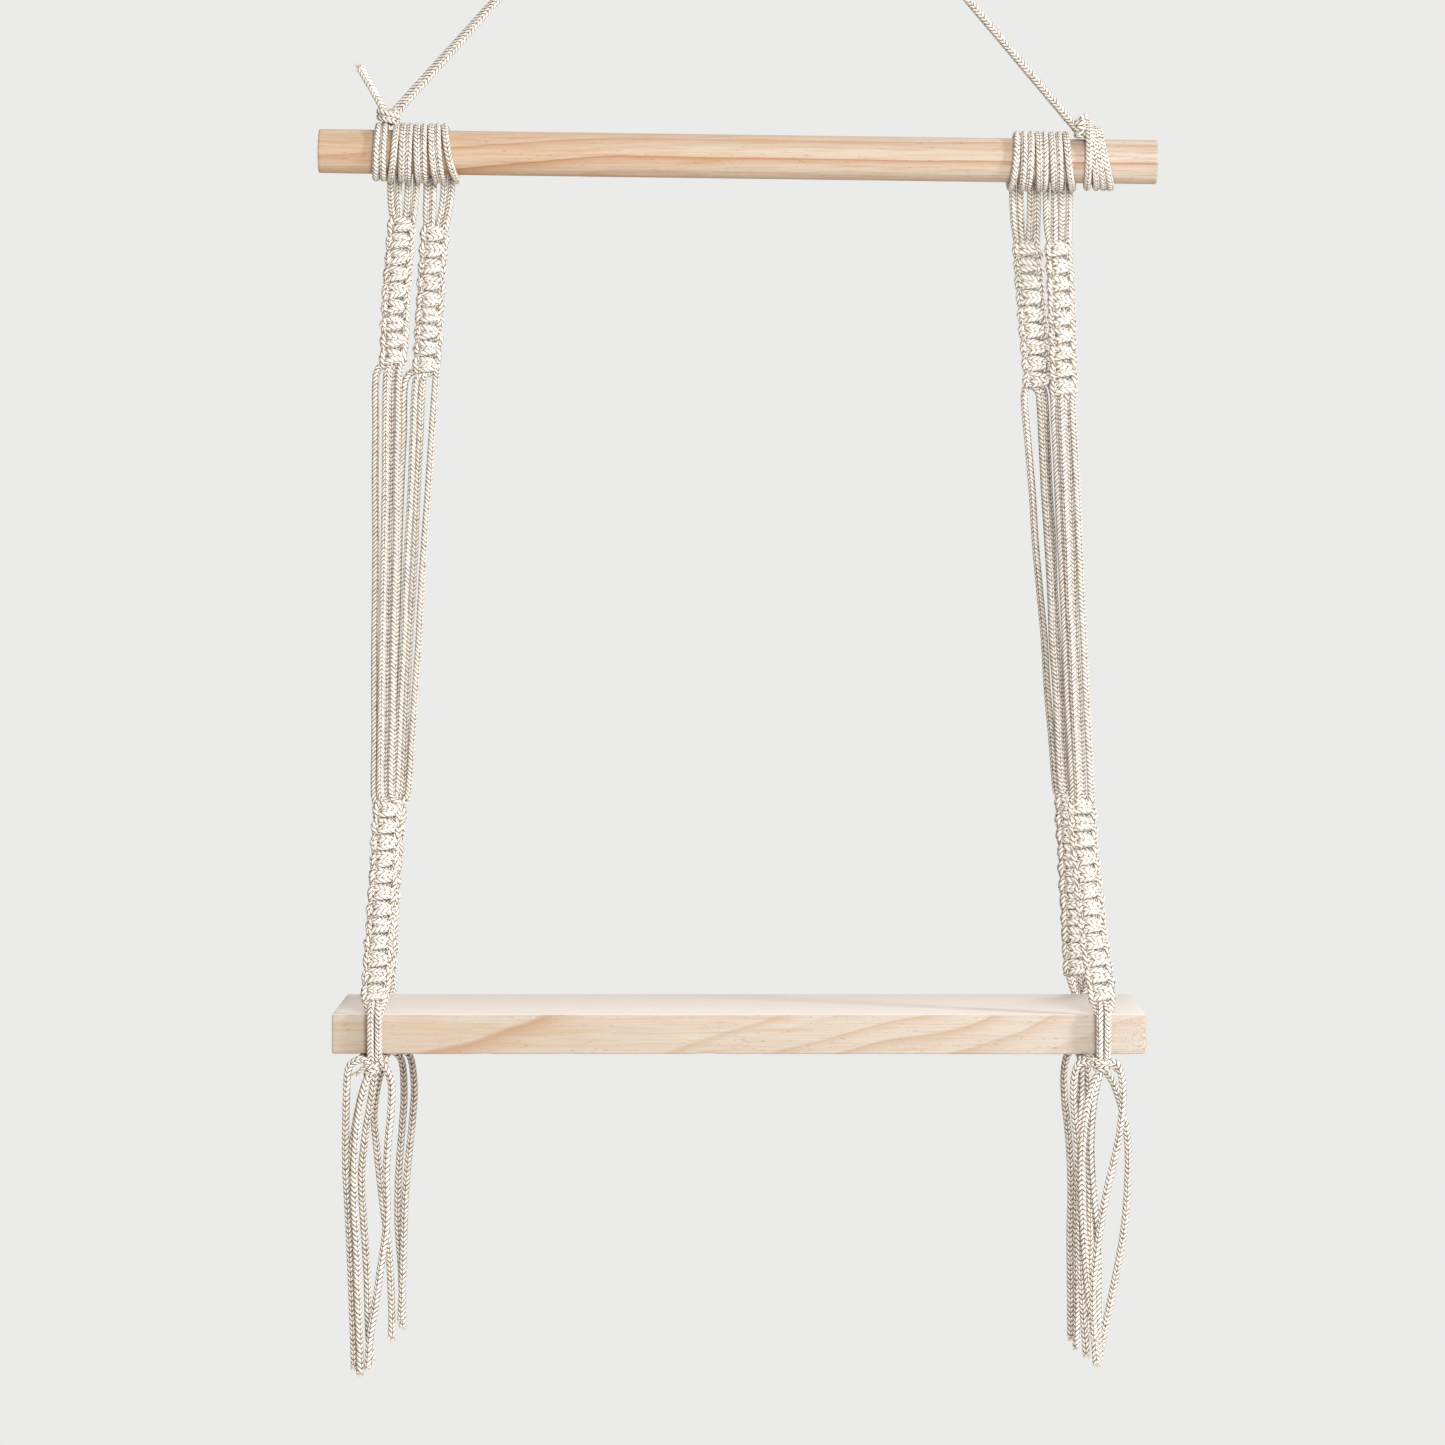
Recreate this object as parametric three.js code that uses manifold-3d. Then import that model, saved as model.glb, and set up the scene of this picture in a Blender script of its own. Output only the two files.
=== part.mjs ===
// Macrame wall shelf: a pine board carried by two knotted cotton straps. The straps hang from
// a pine dowel, and the dowel hangs from a doubled cotton cord that goes over one hook.
//
// Millimetres, +Z up. X runs along the shelf, the shelf's front faces -Y, and the plane Y = 0
// is what the shelf hangs against. The origin is the hook, just under the top of the cord.
//
// Each strap is one net of eight cords: ribbed wraps round the dowel, two sinnets (bars of
// square knots) side by side, eight loose strands, and then a front and a back sinnet whose
// cords pass the board's front and back edge and run under it. Below the board each group of
// four cords is tied in a knot and ends in four loose tails.

import * as THREE from "three";
import { mergeVertices } from "three/addons/utils/BufferGeometryUtils.js";
import Module from "manifold-3d";

const wasm = await Module();
wasm.setup();

// Driving dimensions

const GAP = 0.3; // between pieces that touch
const CORD = { radius: 1.8, sides: 6 };
const TAIL = { sides: 4, settled: 0.7 }; // settled: how much of its depth it has at the shoulder
const STRAND_STEP = 3.4; // between the four cords where they enter a sinnet
const STRAND = { rootDrop: 2, nearness: 0.8 * CORD.radius, spreadBy: 6 };
const MERGE_WITHIN = 1e-4;

const BOARD = {
  length: 400,
  depth: 125,
  thickness: 19.5,
  eased: 0.8,
  centreX: -0.4,
  backY: -8,
  topZ: -640.1,
};
const BOARD_FRONT_Y = BOARD.backY - BOARD.depth;
const BOARD_BOTTOM_Z = BOARD.topZ - BOARD.thickness;

// The dowel hangs a little lower at its right end.
const DOWEL = {
  radius: 11.1,
  sides: 32,
  eased: 0.6,
  axisY: -20,
  left: { x: -213, z: -211.8 },
  right: { x: 210.7, z: -217.5 },
};

// Wraps: neighbouring turns lie one cord apart, fused into one ribbed sleeve.
const WRAP = { pitch: 3.6, sides: 20, innerRadius: DOWEL.radius + GAP, height: 2 * CORD.radius };

// A sinnet: square knots at an even pitch, each one a raised rib with a waist between.
const SINNET = {
  pitch: 8.7,
  halfWidth: 7.2,
  halfDepth: 4.2,
  waist: 0.8,
  end: 0.62,
  sides: 10,
  squareness: 0.7,
};

// The two planes in which the cords hang: from the back of the dowel down to the board's
// front edge, and down to its back edge.
const LEG_TOP_Z = -218.7;
const LEG = {
  front: { topY: -6.5, footY: -136.4 },
  back: { topY: -6.5, footY: -4.7 },
};

// Cords at the board's edges: an inner pair against the wood and an outer pair over it.
const EDGE = { pairSpread: 2.05, underSpread: 5.6, cornerSteps: 3 };
const INNER_OFFSET = GAP + CORD.radius;
const OUTER_OFFSET = INNER_OFFSET + 2 * CORD.radius;

// One row for each group of four cords. Heights are z; x is listed from left to right.
const GROUPS = [
  {
    strap: "left", leg: "front", firstTurn: 0, heading: [-177.3, -173.3, -168.4, -164.2],
    upperX: [-170.9, -173.4, -174.5], upperTop: -245.5, upperFoot: -321.1,
    strandsTop: [-183.3, -177.9, -175.4, -171.8], strandsFoot: [-181, -178, -176, -172.6],
    lowerX: [-174, -176.3, -178.9], lowerTop: -537.6, lowerFoot: -634, edgeX: -179.2,
  },
  {
    strap: "left", leg: "back", firstTurn: 4, heading: [-159.1, -155.8, -150.3, -146.5],
    upperX: [-154.7, -157.3, -159.3], upperTop: -248.8, upperFoot: -323.6,
    strandsTop: [-170.4, -164.9, -161.5, -154.7], strandsFoot: [-178.2, -175.1, -172.1, -169],
    lowerX: [-175.6, -177.6, -179.4], lowerTop: -541, lowerFoot: -633, edgeX: -179.4,
  },
  {
    strap: "right", leg: "back", firstTurn: 0, heading: [138.4, 142.2, 147.6, 151],
    upperX: [147.4, 149.6, 151.7], upperTop: -256.5, upperFoot: -331.3,
    strandsTop: [144.5, 152.1, 155, 159.3], strandsFoot: [160.9, 163.4, 166, 169],
    lowerX: [165.7, 168, 170.6], lowerTop: -538, lowerFoot: -630.5, edgeX: 172.6,
  },
  {
    strap: "right", leg: "front", firstTurn: 4, heading: [155.2, 159.4, 163.2, 167],
    upperX: [162.7, 163.2, 163.8], upperTop: -257.9, upperFoot: -336.7,
    strandsTop: [158.4, 162.3, 165.4, 169], strandsFoot: [165.7, 168.1, 170.6, 175.1],
    lowerX: [171, 174.2, 178.6], lowerTop: -536.1, lowerFoot: -634, edgeX: 178.8,
  },
];

const HEADING_X = { left: -161.3, right: 152.8 };
const HEADING_TURNS = 8;

// The knots below the board, and the loose tails under them. A tail's x is given at three
// heights and at its tip; flare says how soon it swings out, and y is its depth off the knot.
const KNOT = { halfWidth: 5.2, halfDepth: 3.9, halfHeight: 4, proud: 0.8 };
const KNOT_DROP = { front: 5.2, back: 9.4 };
const LUMP = { sides: 12, rings: 7 };
const KNOT_Y = { front: BOARD_FRONT_Y - OUTER_OFFSET - KNOT.proud, back: -4.2 };
const KNOT_Z = { front: BOARD_BOTTOM_Z - KNOT_DROP.front, back: BOARD_BOTTOM_Z - KNOT_DROP.back };
const TAIL_Z = { shoulder: -669, high: -690, middle: -735, low: -780 };
const TAILS = {
  left_front: [
    { flare: 0.9, high: -193.3, middle: -192.6, low: -190.4, tip: -189.3, tipZ: -812.7, y: 1.5 },
    { flare: 0.35, high: -187, middle: -188.9, low: -187, tip: -186, tipZ: -815.5, y: -2.4 },
    { flare: 0.3, high: -182.4, middle: -185, low: -182.6, tip: -181.2, tipZ: -811, y: 3.2 },
    { flare: 0.76, high: -171.1, middle: -173, low: -178, tip: -182.6, tipZ: -812.7, y: -3 },
  ],
  left_back: [
    { flare: 0.5, high: -171.7, middle: -174.7, low: -173.4, tip: -172.6, tipZ: -810.9, y: 1 },
    { flare: 0.7, high: -166.5, middle: -170, low: -171.8, tip: -172.6, tipZ: -806.6, y: -3.4 },
    { flare: 0.6, high: -185.3, middle: -183.9, low: -179, tip: -178.1, tipZ: -816.2, y: -2 },
    { flare: 0.7, high: -192.4, middle: -199.7, low: -198.5, tip: -195.4, tipZ: -822, y: 1.5 },
  ],
  right_back: [
    { flare: 0.5, high: 165.9, middle: 168.6, low: 168.4, tip: 168.6, tipZ: -816.2, y: 1.4 },
    { flare: 0.3, high: 173.3, middle: 172.6, low: 172.9, tip: 172.6, tipZ: -820.8, y: -2.4 },
    { flare: 0.7, high: 192, middle: 198.2, low: 193.2, tip: 184.7, tipZ: -820.8, y: -1.5 },
    { flare: 0.4, high: 179.1, middle: 178.6, low: 178.7, tip: 177.4, tipZ: -818, y: 2 },
  ],
  right_front: [
    { flare: 0.95, high: 164.2, middle: 166.8, low: 168.2, tip: 170.1, tipZ: -806.5, y: 1.5 },
    { flare: 0.45, high: 169.3, middle: 167.9, low: 171.6, tip: 174.9, tipZ: -810.5, y: -2.6 },
    { flare: 0.35, high: 172.8, middle: 174.3, low: 175.9, tip: 176.9, tipZ: -809.3, y: 3.2 },
    { flare: 0.9, high: 186.8, middle: 178, low: 172.8, tip: 173.8, tipZ: -798.1, y: -3.6 },
  ],
};

// The hanger: two cords side by side over the hook, tied to the dowel at both ends.
// fan is how far the pair lies side by side at its knot, and not one cord behind the other.
const HANGER = { topZ: CORD.radius, topY: -5.1, shoulderX: 5, shoulderZ: -3.6, cordStep: 3.7, spans: 3 };
const HANGER_ENDS = [
  {
    side: -1, knotX: -176.6, knotZ: -193.6, knotHeight: 3.3, fan: 0.6,
    wrapX: -181.2, turns: 2, riseX: -180,
  },
  {
    side: 1, knotX: 173, knotZ: -199.2, knotHeight: 4.6, fan: 0.15,
    wrapX: 180.2, turns: 4, riseX: 175.6,
  },
];
const HANGER_KNOT = { halfWidth: 6, halfDepth: 5.4, y: -20, overlap: 1 };
const LOOSE_END = { from: [-177, -20, -194], to: [-192.7, -19, -169.2] };

const COTTON = new THREE.MeshStandardMaterial({ color: 0xe9dfd0, roughness: 0.95, metalness: 0 });
const PINE_BOARD = new THREE.MeshStandardMaterial({ color: 0xe8d2ba, roughness: 0.7, metalness: 0 });
const PINE_DOWEL = new THREE.MeshStandardMaterial({ color: 0xe3c3a0, roughness: 0.7, metalness: 0 });

// Small helpers

const mix = (a, b, t) => a + (b - a) * t;

function bend(values, t) {
  // Three evenly spaced values, read off smoothly between the first and the last.
  const [start, middle, end] = values;
  const pull = 4 * (middle - (start + end) / 2);
  return mix(start, end, t) + pull * t * (1 - t);
}

function legY(leg, z) {
  const t = (z - LEG_TOP_Z) / (BOARD.topZ - LEG_TOP_Z);
  return mix(LEG[leg].topY, LEG[leg].footY, t);
}

function axisZ(x) {
  const t = (x - DOWEL.left.x) / (DOWEL.right.x - DOWEL.left.x);
  return mix(DOWEL.left.z, DOWEL.right.z, t);
}

// A path whose rings sit at its own points, so a straight stretch costs few faces.
class RingPath extends THREE.CatmullRomCurve3 {
  getUtoTmapping(u) {
    return u;
  }
}

function cordAlong(points, { sides = CORD.sides, radius = CORD.radius, rings = 1 } = {}) {
  const outline = [];
  for (let k = 0; k < sides; k += 1) {
    const angle = (2 * Math.PI * (k + 0.5)) / sides;
    outline.push(new THREE.Vector2(radius * Math.cos(angle), radius * Math.sin(angle)));
  }
  const path = new RingPath(points.map(([x, y, z]) => new THREE.Vector3(x, y, z)), false, "centripetal");
  return new THREE.ExtrudeGeometry(new THREE.Shape(outline), {
    steps: rings * (points.length - 1),
    extrudePath: path,
    bevelEnabled: false,
  });
}

function loftRings(rings) {
  // A closed skin over equal rings, with a point in the middle of each end.
  const sides = rings[0].length;
  const positions = rings.flat().flatMap((p) => [p.x, p.y, p.z]);
  const middleOf = (ring) => ring.reduce((sum, p) => sum.add(p), new THREE.Vector3()).divideScalar(sides);
  const first = rings.length * sides;
  for (const ring of [rings[0], rings[rings.length - 1]]) {
    const middle = middleOf(ring);
    positions.push(middle.x, middle.y, middle.z);
  }
  const faces = [];
  for (let k = 0; k < sides; k += 1) {
    const next = (k + 1) % sides;
    for (let i = 0; i < rings.length - 1; i += 1) {
      const low = i * sides;
      const high = low + sides;
      faces.push(low + k, low + next, high + next, low + k, high + next, high + k);
    }
    const last = (rings.length - 1) * sides;
    faces.push(first, next, k, first + 1, last + k, last + next);
  }
  const geometry = new THREE.BufferGeometry();
  geometry.setAttribute("position", new THREE.Float32BufferAttribute(positions, 3));
  geometry.setIndex(faces);
  return geometry;
}

function solidOf(geometry) {
  const bare = geometry.clone();
  bare.deleteAttribute("normal");
  bare.deleteAttribute("uv");
  const merged = mergeVertices(bare, MERGE_WITHIN);
  return new wasm.Manifold(
    new wasm.Mesh({
      numProp: 3,
      vertProperties: Float32Array.from(merged.attributes.position.array),
      triVerts: Uint32Array.from(merged.index.array),
    }),
  );
}

function fuse(geometries) {
  const whole = geometries.map(solidOf).reduce((sum, solid) => sum.add(solid));
  const { vertProperties, triVerts } = whole.getMesh();
  const geometry = new THREE.BufferGeometry();
  geometry.setAttribute("position", new THREE.BufferAttribute(vertProperties, 3));
  geometry.setIndex(new THREE.BufferAttribute(triVerts, 1));
  return geometry;
}

function roundedLump([x, y, z], { halfWidth, halfDepth, halfHeight }) {
  const lump = new THREE.SphereGeometry(1, LUMP.sides, LUMP.rings);
  lump.rotateX(Math.PI / 2);
  lump.scale(halfWidth, halfDepth, halfHeight);
  lump.translate(x, y, z);
  return lump;
}

function ontoDowel(geometry, x) {
  // From round its own Y axis to round the dowel's axis, at x along it.
  const slope = Math.atan2(DOWEL.right.z - DOWEL.left.z, DOWEL.right.x - DOWEL.left.x);
  geometry.rotateZ(-Math.PI / 2);
  geometry.rotateY(-slope);
  geometry.translate(x, DOWEL.axisY, axisZ(x));
  return geometry;
}

// Pieces

function wraps(x, turns) {
  const inner = WRAP.innerRadius / Math.cos(Math.PI / WRAP.sides);
  const half = (turns * WRAP.pitch) / 2;
  const valley = inner + WRAP.height / 2;
  const crown = inner + WRAP.height;
  const profile = [new THREE.Vector2(inner, -half)];
  for (let i = 0; i < turns; i += 1) {
    const middle = (i + 0.5) * WRAP.pitch - half;
    profile.push(new THREE.Vector2(valley, middle - WRAP.pitch / 2));
    profile.push(new THREE.Vector2(crown, middle - WRAP.pitch / 4));
    profile.push(new THREE.Vector2(crown, middle + WRAP.pitch / 4));
  }
  for (const [radius, along] of [[valley, half], [inner, half], [inner, -half]]) {
    profile.push(new THREE.Vector2(radius, along));
  }
  return ontoDowel(new THREE.LatheGeometry(profile, WRAP.sides), x);
}

function sinnet(leg, xs, top, foot) {
  const length = Math.hypot(top - foot, legY(leg, top) - legY(leg, foot));
  const knots = Math.round(length / SINNET.pitch);
  const stations = 2 * knots;
  const square = (value) => Math.sign(value) * Math.abs(value) ** SINNET.squareness;
  const lean = (legY(leg, top) - legY(leg, foot)) / length;
  const upright = (top - foot) / length;
  const rings = [];
  for (let i = 0; i <= stations; i += 1) {
    const z = mix(top, foot, i / stations);
    const atEnd = i === 0 || i === stations;
    const size = atEnd ? SINNET.end : i % 2 ? 1 : SINNET.waist;
    const ring = [];
    for (let k = 0; k < SINNET.sides; k += 1) {
      const angle = (2 * Math.PI * (k + 0.5)) / SINNET.sides;
      const across = size * SINNET.halfWidth * square(Math.cos(angle));
      const out = size * SINNET.halfDepth * square(Math.sin(angle));
      const x = bend(xs, i / stations) + across;
      ring.push(new THREE.Vector3(x, legY(leg, z) - out * upright, z + out * lean));
    }
    rings.push(ring);
  }
  return loftRings(rings);
}

function shortStrands(group) {
  // From the back of the dowel, inside the wraps, into the top of the upper sinnet.
  const { leg, heading, upperX, upperTop, firstTurn } = group;
  return heading.map((x, i) => {
    const wrapX = HEADING_X[group.strap] + (firstTurn + i + 0.5 - HEADING_TURNS / 2) * WRAP.pitch;
    const start = axisZ(wrapX) - STRAND.rootDrop;
    const below = axisZ(wrapX) - WRAP.innerRadius - WRAP.height;
    const end = upperTop - SINNET.pitch / 2;
    return cordAlong([
      [wrapX, legY(leg, start), start],
      [x, legY(leg, below), below],
      [upperX[0] + (i - 1.5) * STRAND_STEP, legY(leg, end), end],
    ]);
  });
}

function longStrands(group) {
  // Four loose strands, two nearer and two farther, from the upper to the lower sinnet.
  const { leg, upperX, lowerX, upperFoot, lowerTop, strandsTop, strandsFoot } = group;
  const start = upperFoot + SINNET.pitch / 2;
  const end = lowerTop - SINNET.pitch / 2;
  return strandsTop.map((x, i) => {
    const depth = (i % 2 ? 1 : -1) * STRAND.nearness;
    const spread = (i - 1.5) * STRAND_STEP;
    const high = upperFoot - STRAND.spreadBy;
    const low = lowerTop + STRAND.spreadBy;
    return cordAlong([
      [upperX[2] + spread, legY(leg, start), start],
      [x, legY(leg, high) + depth, high],
      [strandsFoot[i], legY(leg, low) + depth, low],
      [lowerX[0] + spread, legY(leg, end), end],
    ]);
  });
}

function edgeCords(group) {
  // The outer pair goes straight down to the knot. The inner pair turns under the board.
  const { leg, lowerX, lowerFoot, edgeX } = group;
  const out = leg === "front" ? -1 : 1;
  const edgeY = leg === "front" ? BOARD_FRONT_Y : BOARD.backY;
  const farY = leg === "front" ? BOARD.backY + INNER_OFFSET : BOARD_FRONT_Y - CORD.radius;
  const start = lowerFoot + SINNET.pitch / 2;
  const end = KNOT_Z[leg] + KNOT.halfHeight + GAP;
  const under = leg === "front" ? EDGE.pairSpread : EDGE.underSpread;
  const cords = [];
  for (const side of [-1, 1]) {
    const outerY = edgeY + out * OUTER_OFFSET;
    const innerY = edgeY + out * INNER_OFFSET;
    cords.push(cordAlong([
      [lowerX[2] + side * EDGE.pairSpread, legY(leg, start), start],
      [edgeX + side * EDGE.pairSpread, outerY, BOARD.topZ],
      [edgeX + side * EDGE.pairSpread, outerY, end],
    ]));
    const turn = [];
    for (let i = 0; i <= EDGE.cornerSteps; i += 1) {
      const angle = (Math.PI / 2) * (i / EDGE.cornerSteps);
      const y = edgeY + out * INNER_OFFSET * Math.cos(angle);
      turn.push([edgeX + side * under, y, BOARD_BOTTOM_Z - INNER_OFFSET * Math.sin(angle)]);
    }
    cords.push(cordAlong([
      [lowerX[2] + side * EDGE.pairSpread, legY(leg, start), start],
      [edgeX + side * EDGE.pairSpread, innerY, BOARD.topZ],
      ...turn,
      [edgeX + side * under, farY, BOARD_BOTTOM_Z - INNER_OFFSET],
    ]));
  }
  return cords;
}

function strap(name) {
  const pieces = [wraps(HEADING_X[name], HEADING_TURNS)];
  for (const group of GROUPS.filter((row) => row.strap === name)) {
    pieces.push(sinnet(group.leg, group.upperX, group.upperTop, group.upperFoot));
    pieces.push(sinnet(group.leg, group.lowerX, group.lowerTop, group.lowerFoot));
    pieces.push(...shortStrands(group), ...longStrands(group), ...edgeCords(group));
  }
  return fuse(pieces);
}

function tails(group) {
  const { strap: side, leg, edgeX } = group;
  const centre = [edgeX, KNOT_Y[leg], KNOT_Z[leg]];
  const pieces = [roundedLump(centre, KNOT)];
  for (const row of TAILS[`${side}_${leg}`]) {
    const y = KNOT_Y[leg] + row.y;
    pieces.push(cordAlong([
      [edgeX, KNOT_Y[leg], KNOT_Z[leg]],
      [mix(edgeX, row.high, row.flare), mix(KNOT_Y[leg], y, TAIL.settled), TAIL_Z.shoulder],
      [row.high, y, TAIL_Z.high],
      [row.middle, y, TAIL_Z.middle],
      [row.low, y, TAIL_Z.low],
      [row.tip, y, row.tipZ],
    ], { sides: TAIL.sides, rings: 2 }));
  }
  return fuse(pieces);
}

function hangerLeg(end, row) {
  // One of the two cords on one side, from over the hook down to the knot on the dowel.
  const { fan } = end;
  const shift = (row - 0.5) * HANGER.cordStep;
  const top = [0, HANGER.topY + shift, HANGER.topZ];
  const shoulder = [end.side * HANGER.shoulderX, HANGER.topY + shift, HANGER.shoulderZ];
  const foot = [end.knotX - shift * fan, HANGER_KNOT.y + shift * (1 - fan), end.knotZ];
  const points = [top, shoulder];
  for (let i = 1; i <= HANGER.spans; i += 1) {
    const t = i / HANGER.spans;
    points.push(shoulder.map((value, axis) => mix(value, foot[axis], t)));
  }
  return cordAlong(points);
}

function hanger() {
  const pieces = [cordAlong([LOOSE_END.from, LOOSE_END.to], { rings: 2 })];
  for (const end of HANGER_ENDS) {
    pieces.push(hangerLeg(end, 0), hangerLeg(end, 1));
    const knot = { ...HANGER_KNOT, halfHeight: end.knotHeight };
    pieces.push(roundedLump([end.knotX, HANGER_KNOT.y, end.knotZ], knot));
    pieces.push(wraps(end.wrapX, end.turns));
    const wrapTop = axisZ(end.riseX) + WRAP.innerRadius + CORD.radius;
    pieces.push(cordAlong([
      [end.riseX, DOWEL.axisY, wrapTop],
      [end.riseX, DOWEL.axisY, end.knotZ + HANGER_KNOT.overlap],
    ]));
  }
  return fuse(pieces);
}

function board() {
  // Extruded upwards, with its long edges and corners slightly eased.
  const { length, depth, thickness, eased } = BOARD;
  const outline = new THREE.Shape();
  outline.moveTo(-length / 2 + eased, -depth / 2 + eased);
  outline.lineTo(length / 2 - eased, -depth / 2 + eased);
  outline.lineTo(length / 2 - eased, depth / 2 - eased);
  outline.lineTo(-length / 2 + eased, depth / 2 - eased);
  outline.closePath();
  const solid = new THREE.ExtrudeGeometry(outline, {
    depth: thickness - 2 * eased,
    bevelEnabled: true,
    bevelThickness: eased,
    bevelSize: eased,
    bevelSegments: 1,
  });
  solid.translate(0, 0, eased - thickness / 2);
  return solid;
}

function dowel() {
  const { radius, sides, eased, left, right } = DOWEL;
  const half = Math.hypot(right.x - left.x, right.z - left.z) / 2;
  const profile = [
    new THREE.Vector2(0, -half),
    new THREE.Vector2(radius - eased, -half),
    new THREE.Vector2(radius, eased - half),
    new THREE.Vector2(radius, half - eased),
    new THREE.Vector2(radius - eased, half),
    new THREE.Vector2(0, half),
  ];
  return ontoDowel(new THREE.LatheGeometry(profile, sides), (left.x + right.x) / 2);
}

// Assembly

const shelf = new THREE.Group();

function add(name, geometry, material) {
  const mesh = new THREE.Mesh(geometry, material);
  mesh.name = name;
  shelf.add(mesh);
  return mesh;
}

add("dowel", dowel(), PINE_DOWEL);
add("board", board(), PINE_BOARD).position.set(
  BOARD.centreX,
  BOARD.backY - BOARD.depth / 2,
  BOARD.topZ - BOARD.thickness / 2,
);
add("hanger_cord", hanger(), COTTON);
for (const name of ["left", "right"]) {
  add(`${name}_strap`, strap(name), COTTON);
}
for (const group of GROUPS) {
  add(`${group.strap}_${group.leg}_tails`, tails(group), COTTON);
}

export default shelf;
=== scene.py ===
"""Macrame wall shelf: a pine board in two knotted cotton straps, hung from a pine dowel.

Every cord is a tube on its own path, with a braid that follows it. The paths are worked out
in millimetres, in the frame's axes: X along the shelf, -Y to the front, +Z up, and the hook
at the origin. The straps' cords are followed one by one, from the lark's head on the dowel
through both sinnets of square knots and past the board's edge.
"""

import math
import random

import bmesh
import bpy
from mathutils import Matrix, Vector


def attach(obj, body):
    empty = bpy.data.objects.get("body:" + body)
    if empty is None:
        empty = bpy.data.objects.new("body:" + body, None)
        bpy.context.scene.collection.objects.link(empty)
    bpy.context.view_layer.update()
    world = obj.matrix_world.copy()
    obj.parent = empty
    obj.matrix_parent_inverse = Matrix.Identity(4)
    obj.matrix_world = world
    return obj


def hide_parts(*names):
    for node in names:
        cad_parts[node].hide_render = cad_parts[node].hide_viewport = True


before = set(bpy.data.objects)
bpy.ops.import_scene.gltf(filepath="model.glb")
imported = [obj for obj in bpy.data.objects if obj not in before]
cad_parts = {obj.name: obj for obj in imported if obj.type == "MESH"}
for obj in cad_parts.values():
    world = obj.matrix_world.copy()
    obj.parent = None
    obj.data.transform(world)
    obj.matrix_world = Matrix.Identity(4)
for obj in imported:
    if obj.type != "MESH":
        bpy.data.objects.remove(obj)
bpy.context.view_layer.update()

MM = 0.001
SIDES = (("left", -1), ("right", 1))

# Sizes, in millimetres

CORD_RADIUS = 1.8
GAP = 0.3

BOARD = {
    "length": 400, "depth": 125, "thickness": 19.5, "centre_x": -0.4, "back_y": -8, "top_z": -640.1,
    "eased": 0.9,
}
BOARD_FRONT_Y = BOARD["back_y"] - BOARD["depth"]
BOARD_BOTTOM_Z = BOARD["top_z"] - BOARD["thickness"]

# The dowel's two ends are given as (x, z), on its axis.
DOWEL = {"radius": 11.1, "axis_y": -20, "left": (-213, -211.8), "right": (210.7, -217.5), "eased": 0.8}

# The planes in which the cords hang, from the back of the dowel to the board's two edges,
# each as y at the dowel and y at the board's top.
LEG_TOP_Z = -218.7
LEGS = {"front": (-6.5, -136.4), "back": (-6.5, -4.7)}

# How long one square knot is, how far apart the strands enter a sinnet, and how far from the
# middle of a group its cords pass the board's edge and run under the board.
KNOT_PITCH = 8.7
STRAND_STEP = 3.4
PAIR_SPREAD = 1.9
UNDER_SPREAD = 5.6
INNER_OFFSET = GAP + CORD_RADIUS
OUTER_OFFSET = INNER_OFFSET + 2 * CORD_RADIUS

# One row for each group of four cords: x at the top, middle and foot of its two sinnets,
# their top and foot as z, how wide they are tied against a full sinnet, x of each loose strand
# at its top and foot, and x where the cords pass the board's edge.
GROUPS = [
    {
        "strap": "left", "leg": "front", "first": 0, "wide": 0.98,
        "upper_x": (-170.9, -173.4, -174.5), "upper_top": -245.5, "upper_foot": -321.1,
        "strands_top": (-183.3, -177.9, -175.4, -171.8), "strands_foot": (-181, -178, -176, -172.6),
        "lower_x": (-174, -176.3, -178.9), "lower_top": -537.6, "lower_foot": -634, "edge_x": -179.2,
    },
    {
        "strap": "left", "leg": "back", "first": 4, "wide": 0.98,
        "upper_x": (-154.7, -157.3, -159.3), "upper_top": -248.8, "upper_foot": -323.6,
        "strands_top": (-170.4, -164.9, -161.5, -154.7), "strands_foot": (-178.2, -175.1, -172.1, -169),
        "lower_x": (-176.6, -180.4, -182.2), "lower_top": -541, "lower_foot": -633, "edge_x": -180.2,
    },
    {
        "strap": "right", "leg": "back", "first": 0, "wide": 1.02,
        "upper_x": (145.3, 148.4, 151.8), "upper_top": -256.5, "upper_foot": -331.3,
        "strands_top": (144.5, 152.1, 155, 159.3), "strands_foot": (160.9, 163.4, 166, 169),
        "lower_x": (167.3, 170.1, 172.3), "lower_top": -538, "lower_foot": -630.5, "edge_x": 173.4,
    },
    {
        "strap": "right", "leg": "front", "first": 4, "wide": 0.95,
        "upper_x": (161.0, 162.3, 162.8), "upper_top": -257.9, "upper_foot": -336.7,
        "strands_top": (157.8, 161.4, 164.2, 167.2), "strands_foot": (164.8, 167.2, 169.6, 173.6),
        "lower_x": (168.7, 172.1, 177.9), "lower_top": -536.1, "lower_foot": -634, "edge_x": 178.3,
    },
]

# Where each strap's eight turns pass the dowel's top and bottom, and where the eight strands
# hang just below it.
HEADINGS = {
    "left": {
        "top": (-173.2, -169.9, -166.5, -163.1, -159.4, -156.1, -152.7, -149.3),
        "bottom": (-176.7, -171.1, -167.9, -162.5, -159.4, -153.7, -150.3, -143.2),
        "strand": (-177.3, -173.3, -168.4, -164.2, -159.1, -155.8, -150.3, -146.5),
    },
    "right": {
        "top": (140.0, 143.5, 147.1, 150.5, 153.9, 157.3, 160.9, 164.3),
        "bottom": (137.2, 142.6, 145.6, 151.4, 154.0, 158.8, 161.9, 167.8),
        "strand": (138.4, 142.2, 147.6, 151.0, 155.2, 159.4, 163.2, 167.0),
    },
}

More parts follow.
